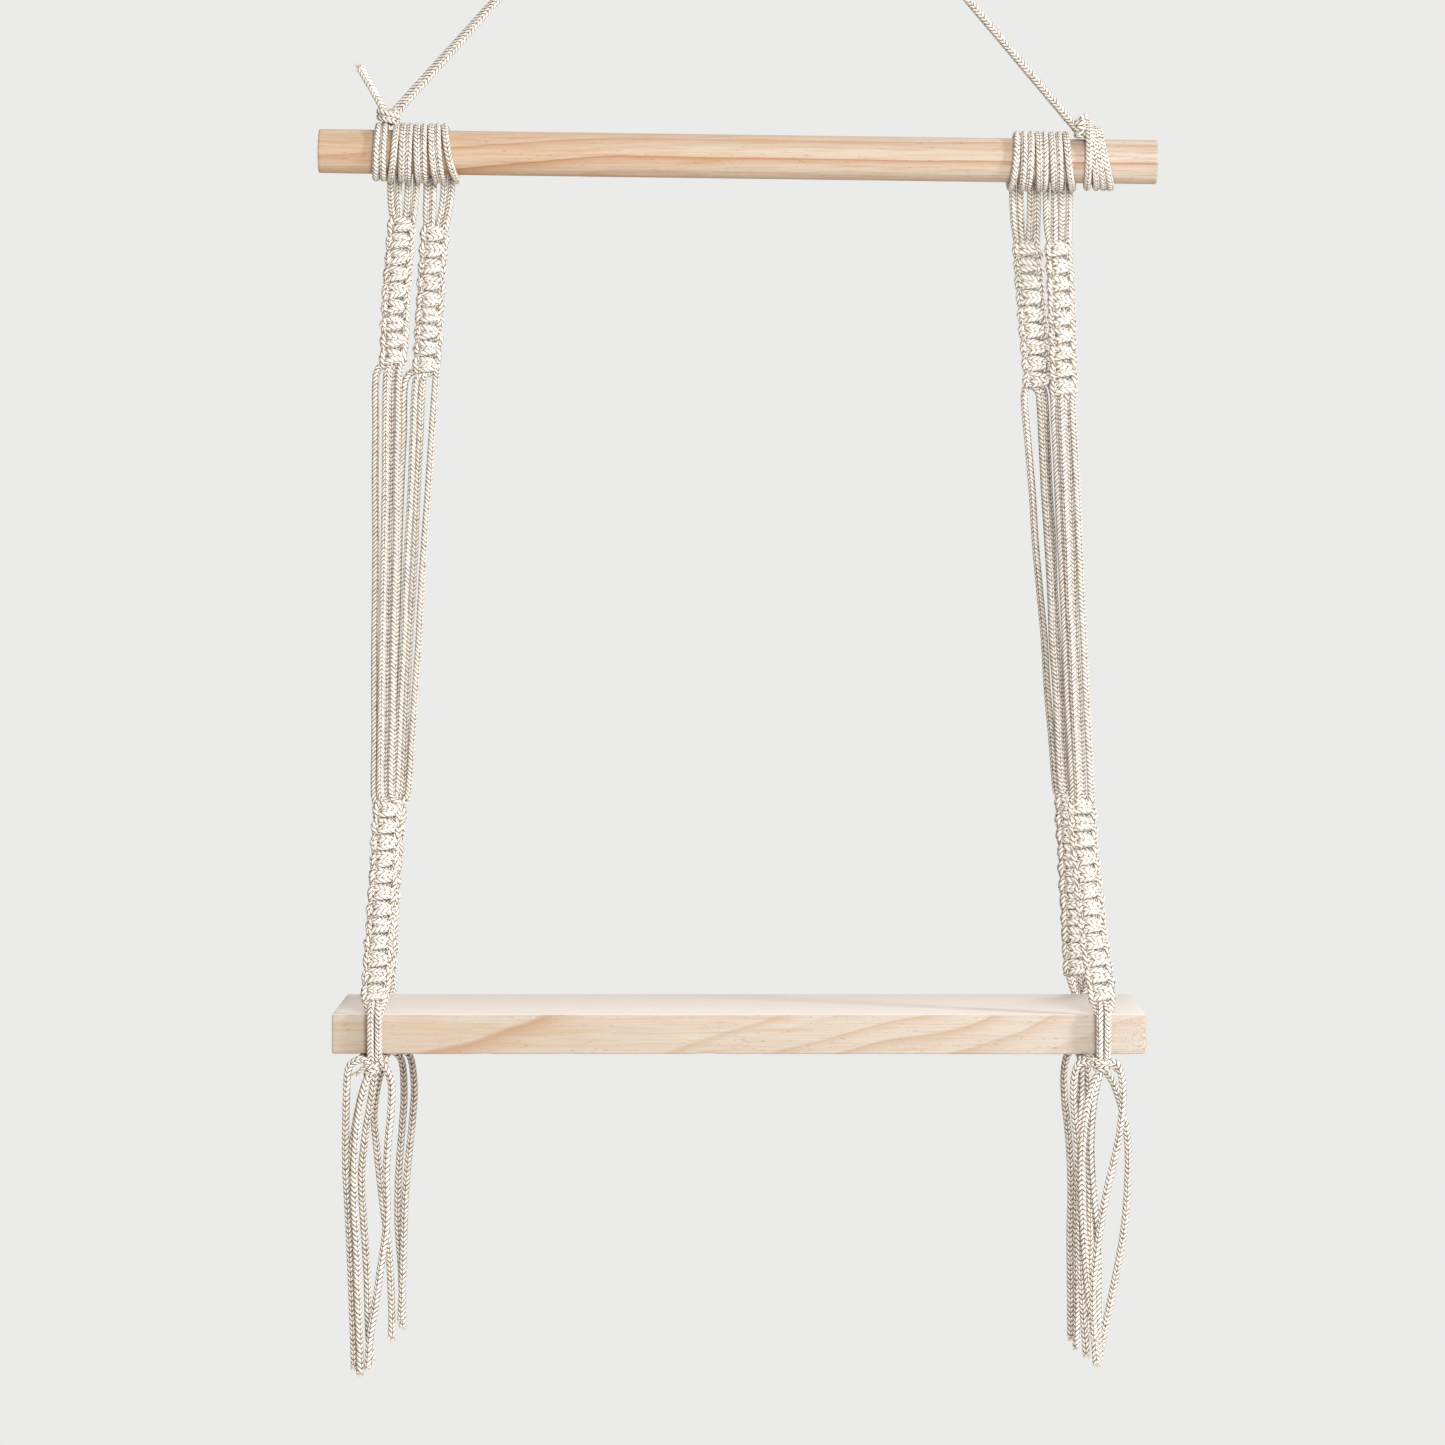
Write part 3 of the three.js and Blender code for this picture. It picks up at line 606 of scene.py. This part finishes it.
def square_knots(group, part, rng):
    """The four cords of one sinnet, from left to right where they enter it at the top."""
    leg, xs = group["leg"], group[part + "_x"]
    top, foot = group[part + "_top"], group[part + "_foot"]
    length = math.hypot(top - foot, leg_y(leg, top) - leg_y(leg, foot))
    halves = 2 * round(length / KNOT_PITCH)
    step = (top - foot) / halves

    def put(spot, way, level):
        across, out, down, thick = spot
        t = (level + down) / halves
        z = top - (level + down + rng.uniform(-0.05, 0.05)) * step
        across *= way * group["wide"] * rng.uniform(0.95, 1.04)
        place = on_leg(leg, bend(xs, t) + across, out * rng.uniform(0.92, 1.06), z)
        return (*place, thick * rng.uniform(0.97, 1.03))

    front = []
    back = [put(spot, 1, 0) for spot in BACK_ENTRY]
    for half in range(halves):
        way = 1 if half % 2 == 0 else -1
        level = half + 0.5 + way * PULLED_TOGETHER
        front += [put(spot, way, level) for spot in FRONT_CROSSING]
        back += [put(spot, way, level) for spot in BACK_CROSSING]
        if half < halves - 1:
            front.append(put(FRONT_TURN, way, level))
            back += [put(spot, way, level) for spot in SIDE_BAR + BAR_TUCK]
        else:
            back.append(put(SIDE_BAR[0], way, level))
    fillers = []
    for side in (-1, 1):
        fillers.append([put((side * FILLER_OFFSET, 0, 0, 1), 1, halves * t / 8) for t in range(9)])
    return [front, fillers[0], fillers[1], back]


def larks_head(name, pair):
    """One cord's turn on the dowel: up behind it, over its front, and back under to the bar
    that lies behind the two strands. Returns both halves, each starting at the strand."""
    table = HEADINGS[name]
    inner = DOWEL["radius"] + GAP + CORD_RADIUS
    middle = (table["strand"][2 * pair] + table["strand"][2 * pair + 1]) / 2
    halves = []
    for side, index in ((-1, 2 * pair), (1, 2 * pair + 1)):
        top, bottom = table["top"][index], table["bottom"][index]
        behind = middle + side * 1.9
        halves.append([
            round_dowel(mix(behind, top, 0.1), -12, inner),
            round_dowel(mix(behind, top, 0.3), 20, inner),
            round_dowel(mix(behind, top, 0.75), 58, inner),
            round_dowel(top, 92, inner),
            round_dowel(mix(top, bottom, 0.06), 125, inner),
            round_dowel(mix(top, bottom, 0.2), 160, inner),
            round_dowel(mix(top, bottom, 0.42), 195, inner),
            round_dowel(mix(top, bottom, 0.75), 230, inner),
            round_dowel(bottom, 262, inner + 0.2),
            round_dowel(mix(bottom, middle + side * 3.6, 0.5), 292, inner + 1.6),
            round_dowel(middle + side * 3.6, 320, inner + 3),
            round_dowel(middle + side * 2.2, 336, inner + 3.5),
        ])
    return halves


def short_strand(group, slot):
    """From the dowel's back down to the upper sinnet, as the path runs downwards."""
    leg = group["leg"]
    x = HEADINGS[group["strap"]]["strand"][group["first"] + slot]
    low = group["upper_top"]
    end = group["upper_x"][0] + (slot - 1.5) * STRAND_STEP
    points = []
    for share in (0.12, 0.4, 0.72):
        z = mix(axis_z(x) - DOWEL["radius"] - 2, low, share)
        points.append(on_leg(leg, mix(x, end, share ** 2), (slot % 2 - 0.5) * 0.8 * share, z))
    return points


def long_strand(group, slot, rng):
    """A loose strand between the two sinnets, with a slight sway of its own."""
    leg = group["leg"]
    depth = (1 if slot % 2 else -1) * CORD_RADIUS * 0.8
    top_x, foot_x = group["strands_top"][slot], group["strands_foot"][slot]
    points = []
    count = 9
    for i in range(count):
        t = i / (count - 1)
        z = mix(group["upper_foot"] - 4, group["lower_top"] + 4, t)
        sway = math.sin(math.pi * t) * rng.uniform(-0.35, 0.35)
        squeeze = 1 - 0.5 * (1 - math.sin(math.pi * t)) ** 3
        points.append(on_leg(leg, mix(top_x, foot_x, t) + sway, depth * squeeze, z))
    return points


def edge_run(group, slot):
    """Past the board's edge: the fillers straight down to the knot, and the two knotting
    cords inside them, round the lower edge and under the board."""
    leg, x = group["leg"], group["edge_x"]
    front = leg == "front"
    out = -1 if front else 1
    edge_y = BOARD_FRONT_Y if front else BOARD["back_y"]
    side = -1 if slot in (0, 1) else 1
    knot_z = knot_centre(group)[2]
    foot_y = leg_y(leg, group["lower_foot"])
    if slot in (1, 2):
        y = edge_y + out * OUTER_OFFSET
        return [
            (x + side * PAIR_SPREAD, mix(foot_y, y, 0.8), BOARD["top_z"] + 2),
            (x + side * PAIR_SPREAD, y, BOARD["top_z"] - 3),
            (x + side * PAIR_SPREAD, y, mix(BOARD["top_z"], BOARD_BOTTOM_Z, 0.55)),
            (x + side * (PAIR_SPREAD - 0.1), y, BOARD_BOTTOM_Z - 0.5),
            (x + side * 1.45, y - 0.4, knot_z + 1.5),
            (x + side * 1.3, y, knot_z - 1.5),
        ]
    under = PAIR_SPREAD if front else UNDER_SPREAD
    far_y = BOARD["back_y"] + INNER_OFFSET if front else BOARD_FRONT_Y - CORD_RADIUS
    points = [
        (x + side * 3.4, mix(foot_y, edge_y + out * INNER_OFFSET, 0.7), BOARD["top_z"] + 3),
        (x + side * PAIR_SPREAD, edge_y + out * (INNER_OFFSET + 0.2), BOARD["top_z"] - 3),
        (x + side * mix(PAIR_SPREAD, under, 0.8), edge_y + out * INNER_OFFSET, BOARD_BOTTOM_Z + 3),
    ]
    for degrees in (0, 30, 60, 90):
        angle = math.radians(degrees)
        points.append((
            x + side * under,
            edge_y + out * (INNER_OFFSET + 0.1) * math.cos(angle),
            BOARD_BOTTOM_Z - (INNER_OFFSET + 0.1) * math.sin(angle),
        ))
    for share in (0.1, 0.5, 0.9, 1.0):
        points.append((x + side * under, mix(edge_y, far_y, share), BOARD_BOTTOM_Z - INNER_OFFSET - 0.1))
    return points


def knot_centre(group):
    """The middle of the knot below the board, a little to the left of the cords it binds."""
    drop = TASSEL_KNOT["drop"][group["strap"]]
    if group["leg"] == "front":
        return (group["edge_x"] - 1.2, BOARD_FRONT_Y - OUTER_OFFSET - 0.8, BOARD_BOTTOM_Z - drop)
    return (group["edge_x"], -4.2, BOARD_BOTTOM_Z - drop - 3)


def strap_paths(name, rng):
    """The strap's four cords, each from its front or back end up over the dowel and down."""
    strands = {}
    for group in (row for row in GROUPS if row["strap"] == name):
        upper = square_knots(group, "upper", rng)
        lower = square_knots(group, "lower", rng)
        for slot in range(4):
            strands[group["first"] + slot] = (
                short_strand(group, slot) + upper[slot] + long_strand(group, slot, rng)
                + lower[slot] + edge_run(group, slot)
            )
    paths = []
    for pair in range(4):
        left, right = larks_head(name, pair)
        down_left, down_right = strands[2 * pair], strands[2 * pair + 1]
        paths.append(down_left[::-1] + left + right[::-1] + down_right)
    return paths


def knot_paths(group):
    """Two turns that bind the cords, and the two cut ends that stick out of them, one long
    and frayed, one short. The first path is the binding, and the others are the ends."""
    x, y, z = knot_centre(group)
    front = 1 if group["leg"] == "front" else -1
    side = 1 if group["strap"] == "left" else -1
    steps = TASSEL_KNOT["steps"]
    turns = []
    for i in range(2 * steps - 1):
        angle = math.radians(360 / steps * i - 60)
        turns.append((
            x + side * TASSEL_KNOT["wide"] * math.cos(angle),
            y - front * (TASSEL_KNOT["deep"] * math.sin(angle) + 0.2),
            z + TASSEL_KNOT["pitch"] * (0.9 - i / steps) + 0.5 * side * math.cos(angle),
        ))
    paths = [turns]
    for end in KNOT_ENDS:
        paths.append([(x + side * across, y - front * out, z + up, size) for across, out, up, size in end])
    return paths


def tail_paths(group):
    """The four tails of one knot, swelling a little where the braid opens at the cut end."""
    x, y, z = knot_centre(group)
    paths = []
    for depth, places in TAILS[(group["strap"], group["leg"])]:
        first_x = places[0][0]
        route = [(mix(x, first_x, 0.25), y + depth * 0.2, z + 0.5)]
        for i, (px, pz) in enumerate(places):
            share = min(1, (i + 1) / 3)
            route.append((px, y + depth * share, pz))
        before_x, _, before_z = route[-2]
        end_x, end_y, end_z = route[-1]
        lean = (end_x - before_x) / abs(before_z - end_z)
        route.insert(-1, (end_x - lean * 3.5, end_y, end_z + 3.5))
        thick = [1.0] * (len(route) - 2) + [1.02, 1.16]
        paths.append([(*place, size) for place, size in zip(route, thick)])
    return paths


def fray_paths(cut, rng):
    """Short loose fibres that splay from the end of each cut path."""
    paths = []
    for path in cut:
        tip, before = Vector(path[-1][:3]), Vector(path[-2][:3])
        down = (tip - before).normalized()
        for _ in range(FRAY_COUNT):
            angle = rng.uniform(0, 2 * math.pi)
            off = rng.uniform(0.3, 1.0) * CORD_RADIUS
            side = Vector((math.cos(angle), math.sin(angle), 0))
            long = rng.uniform(0.8, 2.6)
            spread = rng.uniform(0.1, 0.75)
            points = []
            for t, size in ((-0.5, 1.0), (0.3, 1.0), (0.7, 0.8), (1.0, 0.35)):
                place = tip + side * (off + spread * max(t, 0) ** 1.5) + down * (t * long)
                points.append((*place, size))
            paths.append(points)
    return paths


def hanger_leg(name, side, shift):
    """One of the two cords on one side, straight from beside the hook down to the knot."""
    end = HANGER_ENDS[name]
    kx, ky, kz = end["knot"]
    shoulder = (side * HANGER_TOP["shoulder_x"], HANGER_TOP["y"] + shift, HANGER_TOP["shoulder_z"])
    foot = (kx - shift * end["fan"], ky + 1.5 + shift * (1 - end["fan"]), kz + 1)
    return [tuple(mix(a, b, i / 8) for a, b in zip(shoulder, foot)) for i in range(9)]


def hanger_turns(name, side):
    """The turns on the dowel at one end, from the knot and back to it."""
    end = HANGER_ENDS[name]
    kx, ky, kz = end["knot"]
    inner = DOWEL["radius"] + GAP + CORD_RADIUS
    turns = [(kx + side * 1.5, ky, kz)]
    followers = end["top"][1:] + end["top"][:1]
    for top, bottom, lift, following in zip(end["top"], end["bottom"], end["lift"], followers):
        turns += [
            round_dowel(top, 95, inner + lift),
            round_dowel(mix(top, bottom, 0.15), 130, inner + lift * 0.5),
            round_dowel(mix(top, bottom, 0.5), 180, inner),
            round_dowel(mix(top, bottom, 0.85), 225, inner),
            round_dowel(bottom, 270, inner),
            round_dowel(mix(bottom, following, 0.3), 315, inner),
            round_dowel(mix(bottom, following, 0.6), 0, inner),
            round_dowel(mix(bottom, following, 0.85), 45, inner),
        ]
    turns.append(round_dowel(end["top"][0], 82, inner + 2))
    turns.append((kx + side * 0.5, ky + 1, kz + 1))
    return turns


def hanger_knot(name, side):
    """The coils that bind the doubled cord just above the dowel."""
    end = HANGER_ENDS[name]
    kx, ky, kz = end["knot"]
    wide, deep = end["half"]
    coil = []
    for i in range(end["coils"] * 8 + 1):
        angle = 2 * math.pi * i / 8
        coil.append((
            kx + wide * math.cos(angle),
            ky - deep * math.sin(angle),
            kz + end["rise"] * (i / 8 - 0.1) + 0.8 * math.cos(angle) * side,
        ))
    return coil


def hanger_paths():
    """The doubled cord over the hook, its turns on the dowel, its knots and the loose end,
    which comes last."""
    paths = []
    for row in (0, 1):
        shift = (row - 0.5) * HANGER_TOP["step"]
        left, right = (hanger_leg(name, side, shift) for name, side in SIDES)
        y = HANGER_TOP["y"] + shift
        over_hook = [(-1.6, y, 1.0), (0, y, HANGER_TOP["z"]), (1.6, y, 1.0)]
        paths.append(left[::-1] + over_hook + right)
    for name, side in SIDES:
        paths.append(hanger_turns(name, side))
        paths.append(hanger_knot(name, side))
    paths.append(HANGER_LOOSE_END)
    return paths


# Wood

DOWEL_SIDES = 72
DOWEL_ROWS = 24
NICKS = 10
NICK_ANGLE = 0.14
BOARD_CUTS = 79
CHIPS = 16
CHIPPED_WITHIN = 1.2


def dowel_outline(half, radius, ease):
    """Half the dowel's outline, from the middle of one end to that of the other."""
    end = [(-half, 0.0), (-half, radius * 0.5), (-half, radius - ease)]
    for angle in (math.pi / 6, math.pi / 3, math.pi / 2):
        end.append((-half + ease * (1 - math.cos(angle)), radius - ease * (1 - math.sin(angle))))
    straight = half - 2 * ease
    rows = [(mix(-straight, straight, i / DOWEL_ROWS), radius) for i in range(DOWEL_ROWS + 1)]
    return end + rows + [(-x, r) for x, r in end[5:0:-1]] + [(half, 0.0)]


def dowel_mesh():
    """A turned round bar with eased and slightly nicked ends, one end a little lower."""
    (left_x, left_z), (right_x, right_z) = DOWEL["left"], DOWEL["right"]
    radius = DOWEL["radius"] * MM
    ease = DOWEL["eased"] * MM
    half = math.hypot(right_x - left_x, right_z - left_z) / 2 * MM
    rng = random.Random(5)
    nicks = []
    for _ in range(NICKS):
        nicks.append((rng.uniform(0, 2 * math.pi), rng.choice((-1, 1)), rng.uniform(0.2, 0.5) * MM))

    def dent(x, angle):
        deepest = 0.0
        for where, end, deep in nicks:
            near = abs((angle - where + math.pi) % (2 * math.pi) - math.pi)
            if end * x > 0 and near < NICK_ANGLE:
                deepest = max(deepest, deep * (1 - near / NICK_ANGLE))
        return deepest

    outline = dowel_outline(half, radius, ease)
    points = [(-half, 0.0, 0.0)]
    for x, r in outline[1:-1]:
        at_edge = abs(x) > half - 3 * ease and r > radius * 0.8
        for k in range(DOWEL_SIDES):
            angle = 2 * math.pi * k / DOWEL_SIDES
            out = r - dent(x, angle) if at_edge else r
            points.append((x, out * math.cos(angle), out * math.sin(angle)))
    points.append((half, 0.0, 0.0))

    faces = []
    rings = len(outline) - 2
    for k in range(DOWEL_SIDES):
        following = (k + 1) % DOWEL_SIDES
        faces.append((0, 1 + following, 1 + k))
        for i in range(rings - 1):
            low = 1 + i * DOWEL_SIDES
            high = low + DOWEL_SIDES
            faces.append((low + k, low + following, high + following, high + k))
        last_ring = 1 + (rings - 1) * DOWEL_SIDES
        faces.append((last_ring + k, last_ring + following, len(points) - 1))

    tilt = math.atan2(right_z - left_z, right_x - left_x)
    middle = Vector(((left_x + right_x) / 2, DOWEL["axis_y"], (left_z + right_z) / 2)) * MM
    placed = []
    for x, y, z in points:
        placed.append((
            middle.x + x * math.cos(tilt) - z * math.sin(tilt),
            middle.y + y,
            middle.z + x * math.sin(tilt) + z * math.cos(tilt),
        ))
    mesh = bpy.data.meshes.new("dowel_turned")
    mesh.from_pydata(placed, [], faces)
    mesh.validate()
    return mesh


def smooth_by_angle(obj, degrees):
    for polygon in obj.data.polygons:
        polygon.use_smooth = True
    with bpy.context.temp_override(
        active_object=obj, object=obj, selected_objects=[obj], selected_editable_objects=[obj],
    ):
        bpy.ops.object.shade_smooth_by_angle(angle=math.radians(degrees))


def board_object():
    """A sawn and planed board: long edges eased by hand, a few small chips along them."""
    size = Vector((BOARD["length"], BOARD["depth"], BOARD["thickness"])) * MM
    centre = Vector((
        BOARD["centre_x"], BOARD["back_y"] - BOARD["depth"] / 2, BOARD["top_z"] - BOARD["thickness"] / 2,
    )) * MM
    mesh = bpy.data.meshes.new("board_planed")
    form = bmesh.new()
    bmesh.ops.create_cube(form, size=1.0)
    for vertex in form.verts:
        vertex.co = vertex.co * size + centre
    long_edges = [edge for edge in form.edges if abs(edge.verts[0].co.x - edge.verts[1].co.x) > size.x / 2]
    bmesh.ops.subdivide_edges(form, edges=long_edges, cuts=BOARD_CUTS, use_grid_fill=True)
    form.to_mesh(mesh)
    form.free()
    board = bpy.data.objects.new("board_planed", mesh)
    bpy.context.scene.collection.objects.link(board)
    edge = board.modifiers.new("eased", "BEVEL")
    edge.width = BOARD["eased"] * MM
    edge.segments = 3
    edge.limit_method = "ANGLE"
    finished = bpy.data.meshes.new_from_object(board.evaluated_get(bpy.context.evaluated_depsgraph_get()))
    board.modifiers.clear()
    board.data = finished
    finished.name = "board_planed"

    rng = random.Random(11)
    chips = []
    for _ in range(CHIPS):
        chips.append((rng.uniform(-0.2, 0.2), rng.uniform(0.003, 0.008), rng.uniform(0.1, 0.3) * MM))
    low_z, front_y = centre.z - size.z / 2, centre.y - size.y / 2
    for vertex in finished.vertices:
        near = max(abs(vertex.co.z - low_z), abs(vertex.co.y - front_y))
        if near > CHIPPED_WITHIN * MM:
            continue
        for at, wide, deep in chips:
            away = abs(vertex.co.x - at)
            if away < wide:
                vertex.co.z += deep * (1 - away / wide)
                vertex.co.y += deep * 0.5 * (1 - away / wide)
    return board


# Build the pieces

cord_tree = braided_cord_tree()
cotton = braided_cotton("cotton_braided_undyed", stitch=2.1, slant=1.15, fullest=2.1)
slack_cotton = braided_cotton("cotton_braided_slack", stitch=2.4, slant=1.0, fullest=1.9)
loose_cotton = frayed_cotton()
board_pine = pine(BOARD_PINE, top_z=BOARD["top_z"])
dowel_pine = pine(DOWEL_PINE)


def strap(name, rng):
    cords = swept(name + "_strap", strap_paths(name, rng), cord_tree, cotton)
    return joined(name + "_strap_knotted", [cords])


def tassel(group, rng):
    """Four tails, the knot that binds them, and the fibres at all their cut ends."""
    label = group["strap"] + "_" + group["leg"]
    tails = tail_paths(group)
    knot = knot_paths(group)
    fray = fray_paths(tails + knot[1:], rng)
    bound = TASSEL_KNOT["radius"]
    return joined(label + "_tassel", [
        swept(label + "_tails", tails, cord_tree, slack_cotton, steps=4, sides=12),
        swept(label + "_knot", knot, cord_tree, slack_cotton, radius=bound, sides=12, steps=4),
        swept(label + "_fray", fray, cord_tree, loose_cotton, **FRAY_TUBE),
    ])


def hanger(rng):
    fray = fray_paths([HANGER_LOOSE_END], rng)
    return joined("hanger_cord_tied", [
        swept("hanger", hanger_paths(), cord_tree, cotton, sides=12, steps=4),
        swept("hanger_fray", fray, cord_tree, loose_cotton, **FRAY_TUBE),
    ])


def finish(piece, node):
    """Hides the solid that the piece stands in for, and puts the piece in the root body."""
    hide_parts(node)
    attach(piece, "root")


rng = random.Random(23)
for name, side in SIDES:
    finish(strap(name, rng), name + "_strap")
for group in GROUPS:
    finish(tassel(group, rng), group["strap"] + "_" + group["leg"] + "_tails")
finish(hanger(rng), "hanger_cord")

dowel = bpy.data.objects.new("dowel_turned", dowel_mesh())
bpy.context.scene.collection.objects.link(dowel)
dowel.data.materials.append(dowel_pine)
smooth_by_angle(dowel, 40)
finish(dowel, "dowel")

board = board_object()
board.data.materials.append(board_pine)
smooth_by_angle(board, 40)
finish(board, "board")


# Floor, light and camera, in metres

FLOOR = {"half": 1.6, "z": -1.35, "colour": "#E6E6E3"}
ROOM = {"light": "#F1E4D6", "strength": 0.48, "seen": "#EBEBE9"}
LIT_MIDDLE = (0, -0.06, -0.45)

# Each lamp: its place, its width, its power in watts and its colour.
LAMPS = {
    "key_right": ((2.56, -1.42, 0.33), 0.5, 56, "#FCFCFF"),
    "front_soft": ((0.44, -2.56, 0.09), 1.0, 52, "#FFFFFF"),
    "top_back": ((0.22, 0.93, 1.51), 0.8, 18, "#FFFFFF"),
}


def pale_floor():
    """A plain floor well below the hanging shelf."""
    half, z = FLOOR["half"], FLOOR["z"]
    corners = [(-half, -half, z), (half, -half, z), (half, half, z), (-half, half, z)]
    mesh = bpy.data.meshes.new("floor")
    mesh.from_pydata(corners, [], [(0, 1, 2, 3)])
    floor = bpy.data.objects.new("floor", mesh)
    bpy.context.scene.collection.objects.link(floor)
    material, tree, shader = new_material("floor_pale_matt")
    shader.inputs["Base Color"].default_value = linear(FLOOR["colour"])
    shader.inputs["Roughness"].default_value = 0.9
    mesh.materials.append(material)


def soft_light(name, place, width, watts, colour):
    """A round lamp that faces the middle of the shelf."""
    lamp = bpy.data.lights.new(name, "AREA")
    lamp.shape = "DISK"
    lamp.size = width
    lamp.energy = watts
    lamp.color = linear(colour)[:3]
    holder = bpy.data.objects.new(name, lamp)
    bpy.context.scene.collection.objects.link(holder)
    holder.location = place
    holder.rotation_euler = (Vector(LIT_MIDDLE) - Vector(place)).to_track_quat("-Z", "Y").to_euler()
    holder.visible_camera = False


def studio():
    """A low key light from the right, a soft one from the front, a weak one from above and
    behind, and a pale room. What shows behind the shelf is paler than the room's light."""
    for name, lamp in LAMPS.items():
        soft_light(name, *lamp)
    world = bpy.data.worlds.new("pale_room")
    world.use_nodes = True
    tree = world.node_tree
    room = tree.nodes["Background"]
    room.inputs["Color"].default_value = linear(ROOM["light"])
    room.inputs["Strength"].default_value = ROOM["strength"]
    seen = add_node(tree, "ShaderNodeBackground", {"Color": linear(ROOM["seen"])})
    to_camera = add_node(tree, "ShaderNodeLightPath").outputs["Is Camera Ray"]
    choice = add_node(tree, "ShaderNodeMixShader", [to_camera, room, seen])
    tree.links.new(choice.outputs[0], tree.nodes["World Output"].inputs["Surface"])
    bpy.context.scene.world = world
    bpy.context.scene.view_settings.view_transform = "Standard"


def photo_camera():
    """The lens at the photograph's height and distance, turned a little to frame the shelf."""
    camera = bpy.data.cameras.new("camera")
    camera.sensor_fit = "HORIZONTAL"
    camera.sensor_width = SENSOR_MM
    pixels_deep = CAMERA["distance"] / CAMERA["mm_a_pixel"]
    camera.lens = pixels_deep / PHOTO_PIXELS * SENSOR_MM
    camera.clip_start = 0.05
    camera.clip_end = 50
    holder = bpy.data.objects.new("camera", camera)
    bpy.context.scene.collection.objects.link(holder)
    holder.location = (0, (CAMERA["plane_y"] - CAMERA["distance"]) * MM, CAMERA["z"] * MM)
    middle = PHOTO_PIXELS / 2
    towards = Vector((middle - CAMERA["column"], pixels_deep, CAMERA["row"] - middle))
    holder.rotation_euler = towards.to_track_quat("-Z", "Y").to_euler()
    bpy.context.scene.camera = holder


pale_floor()
studio()
photo_camera()
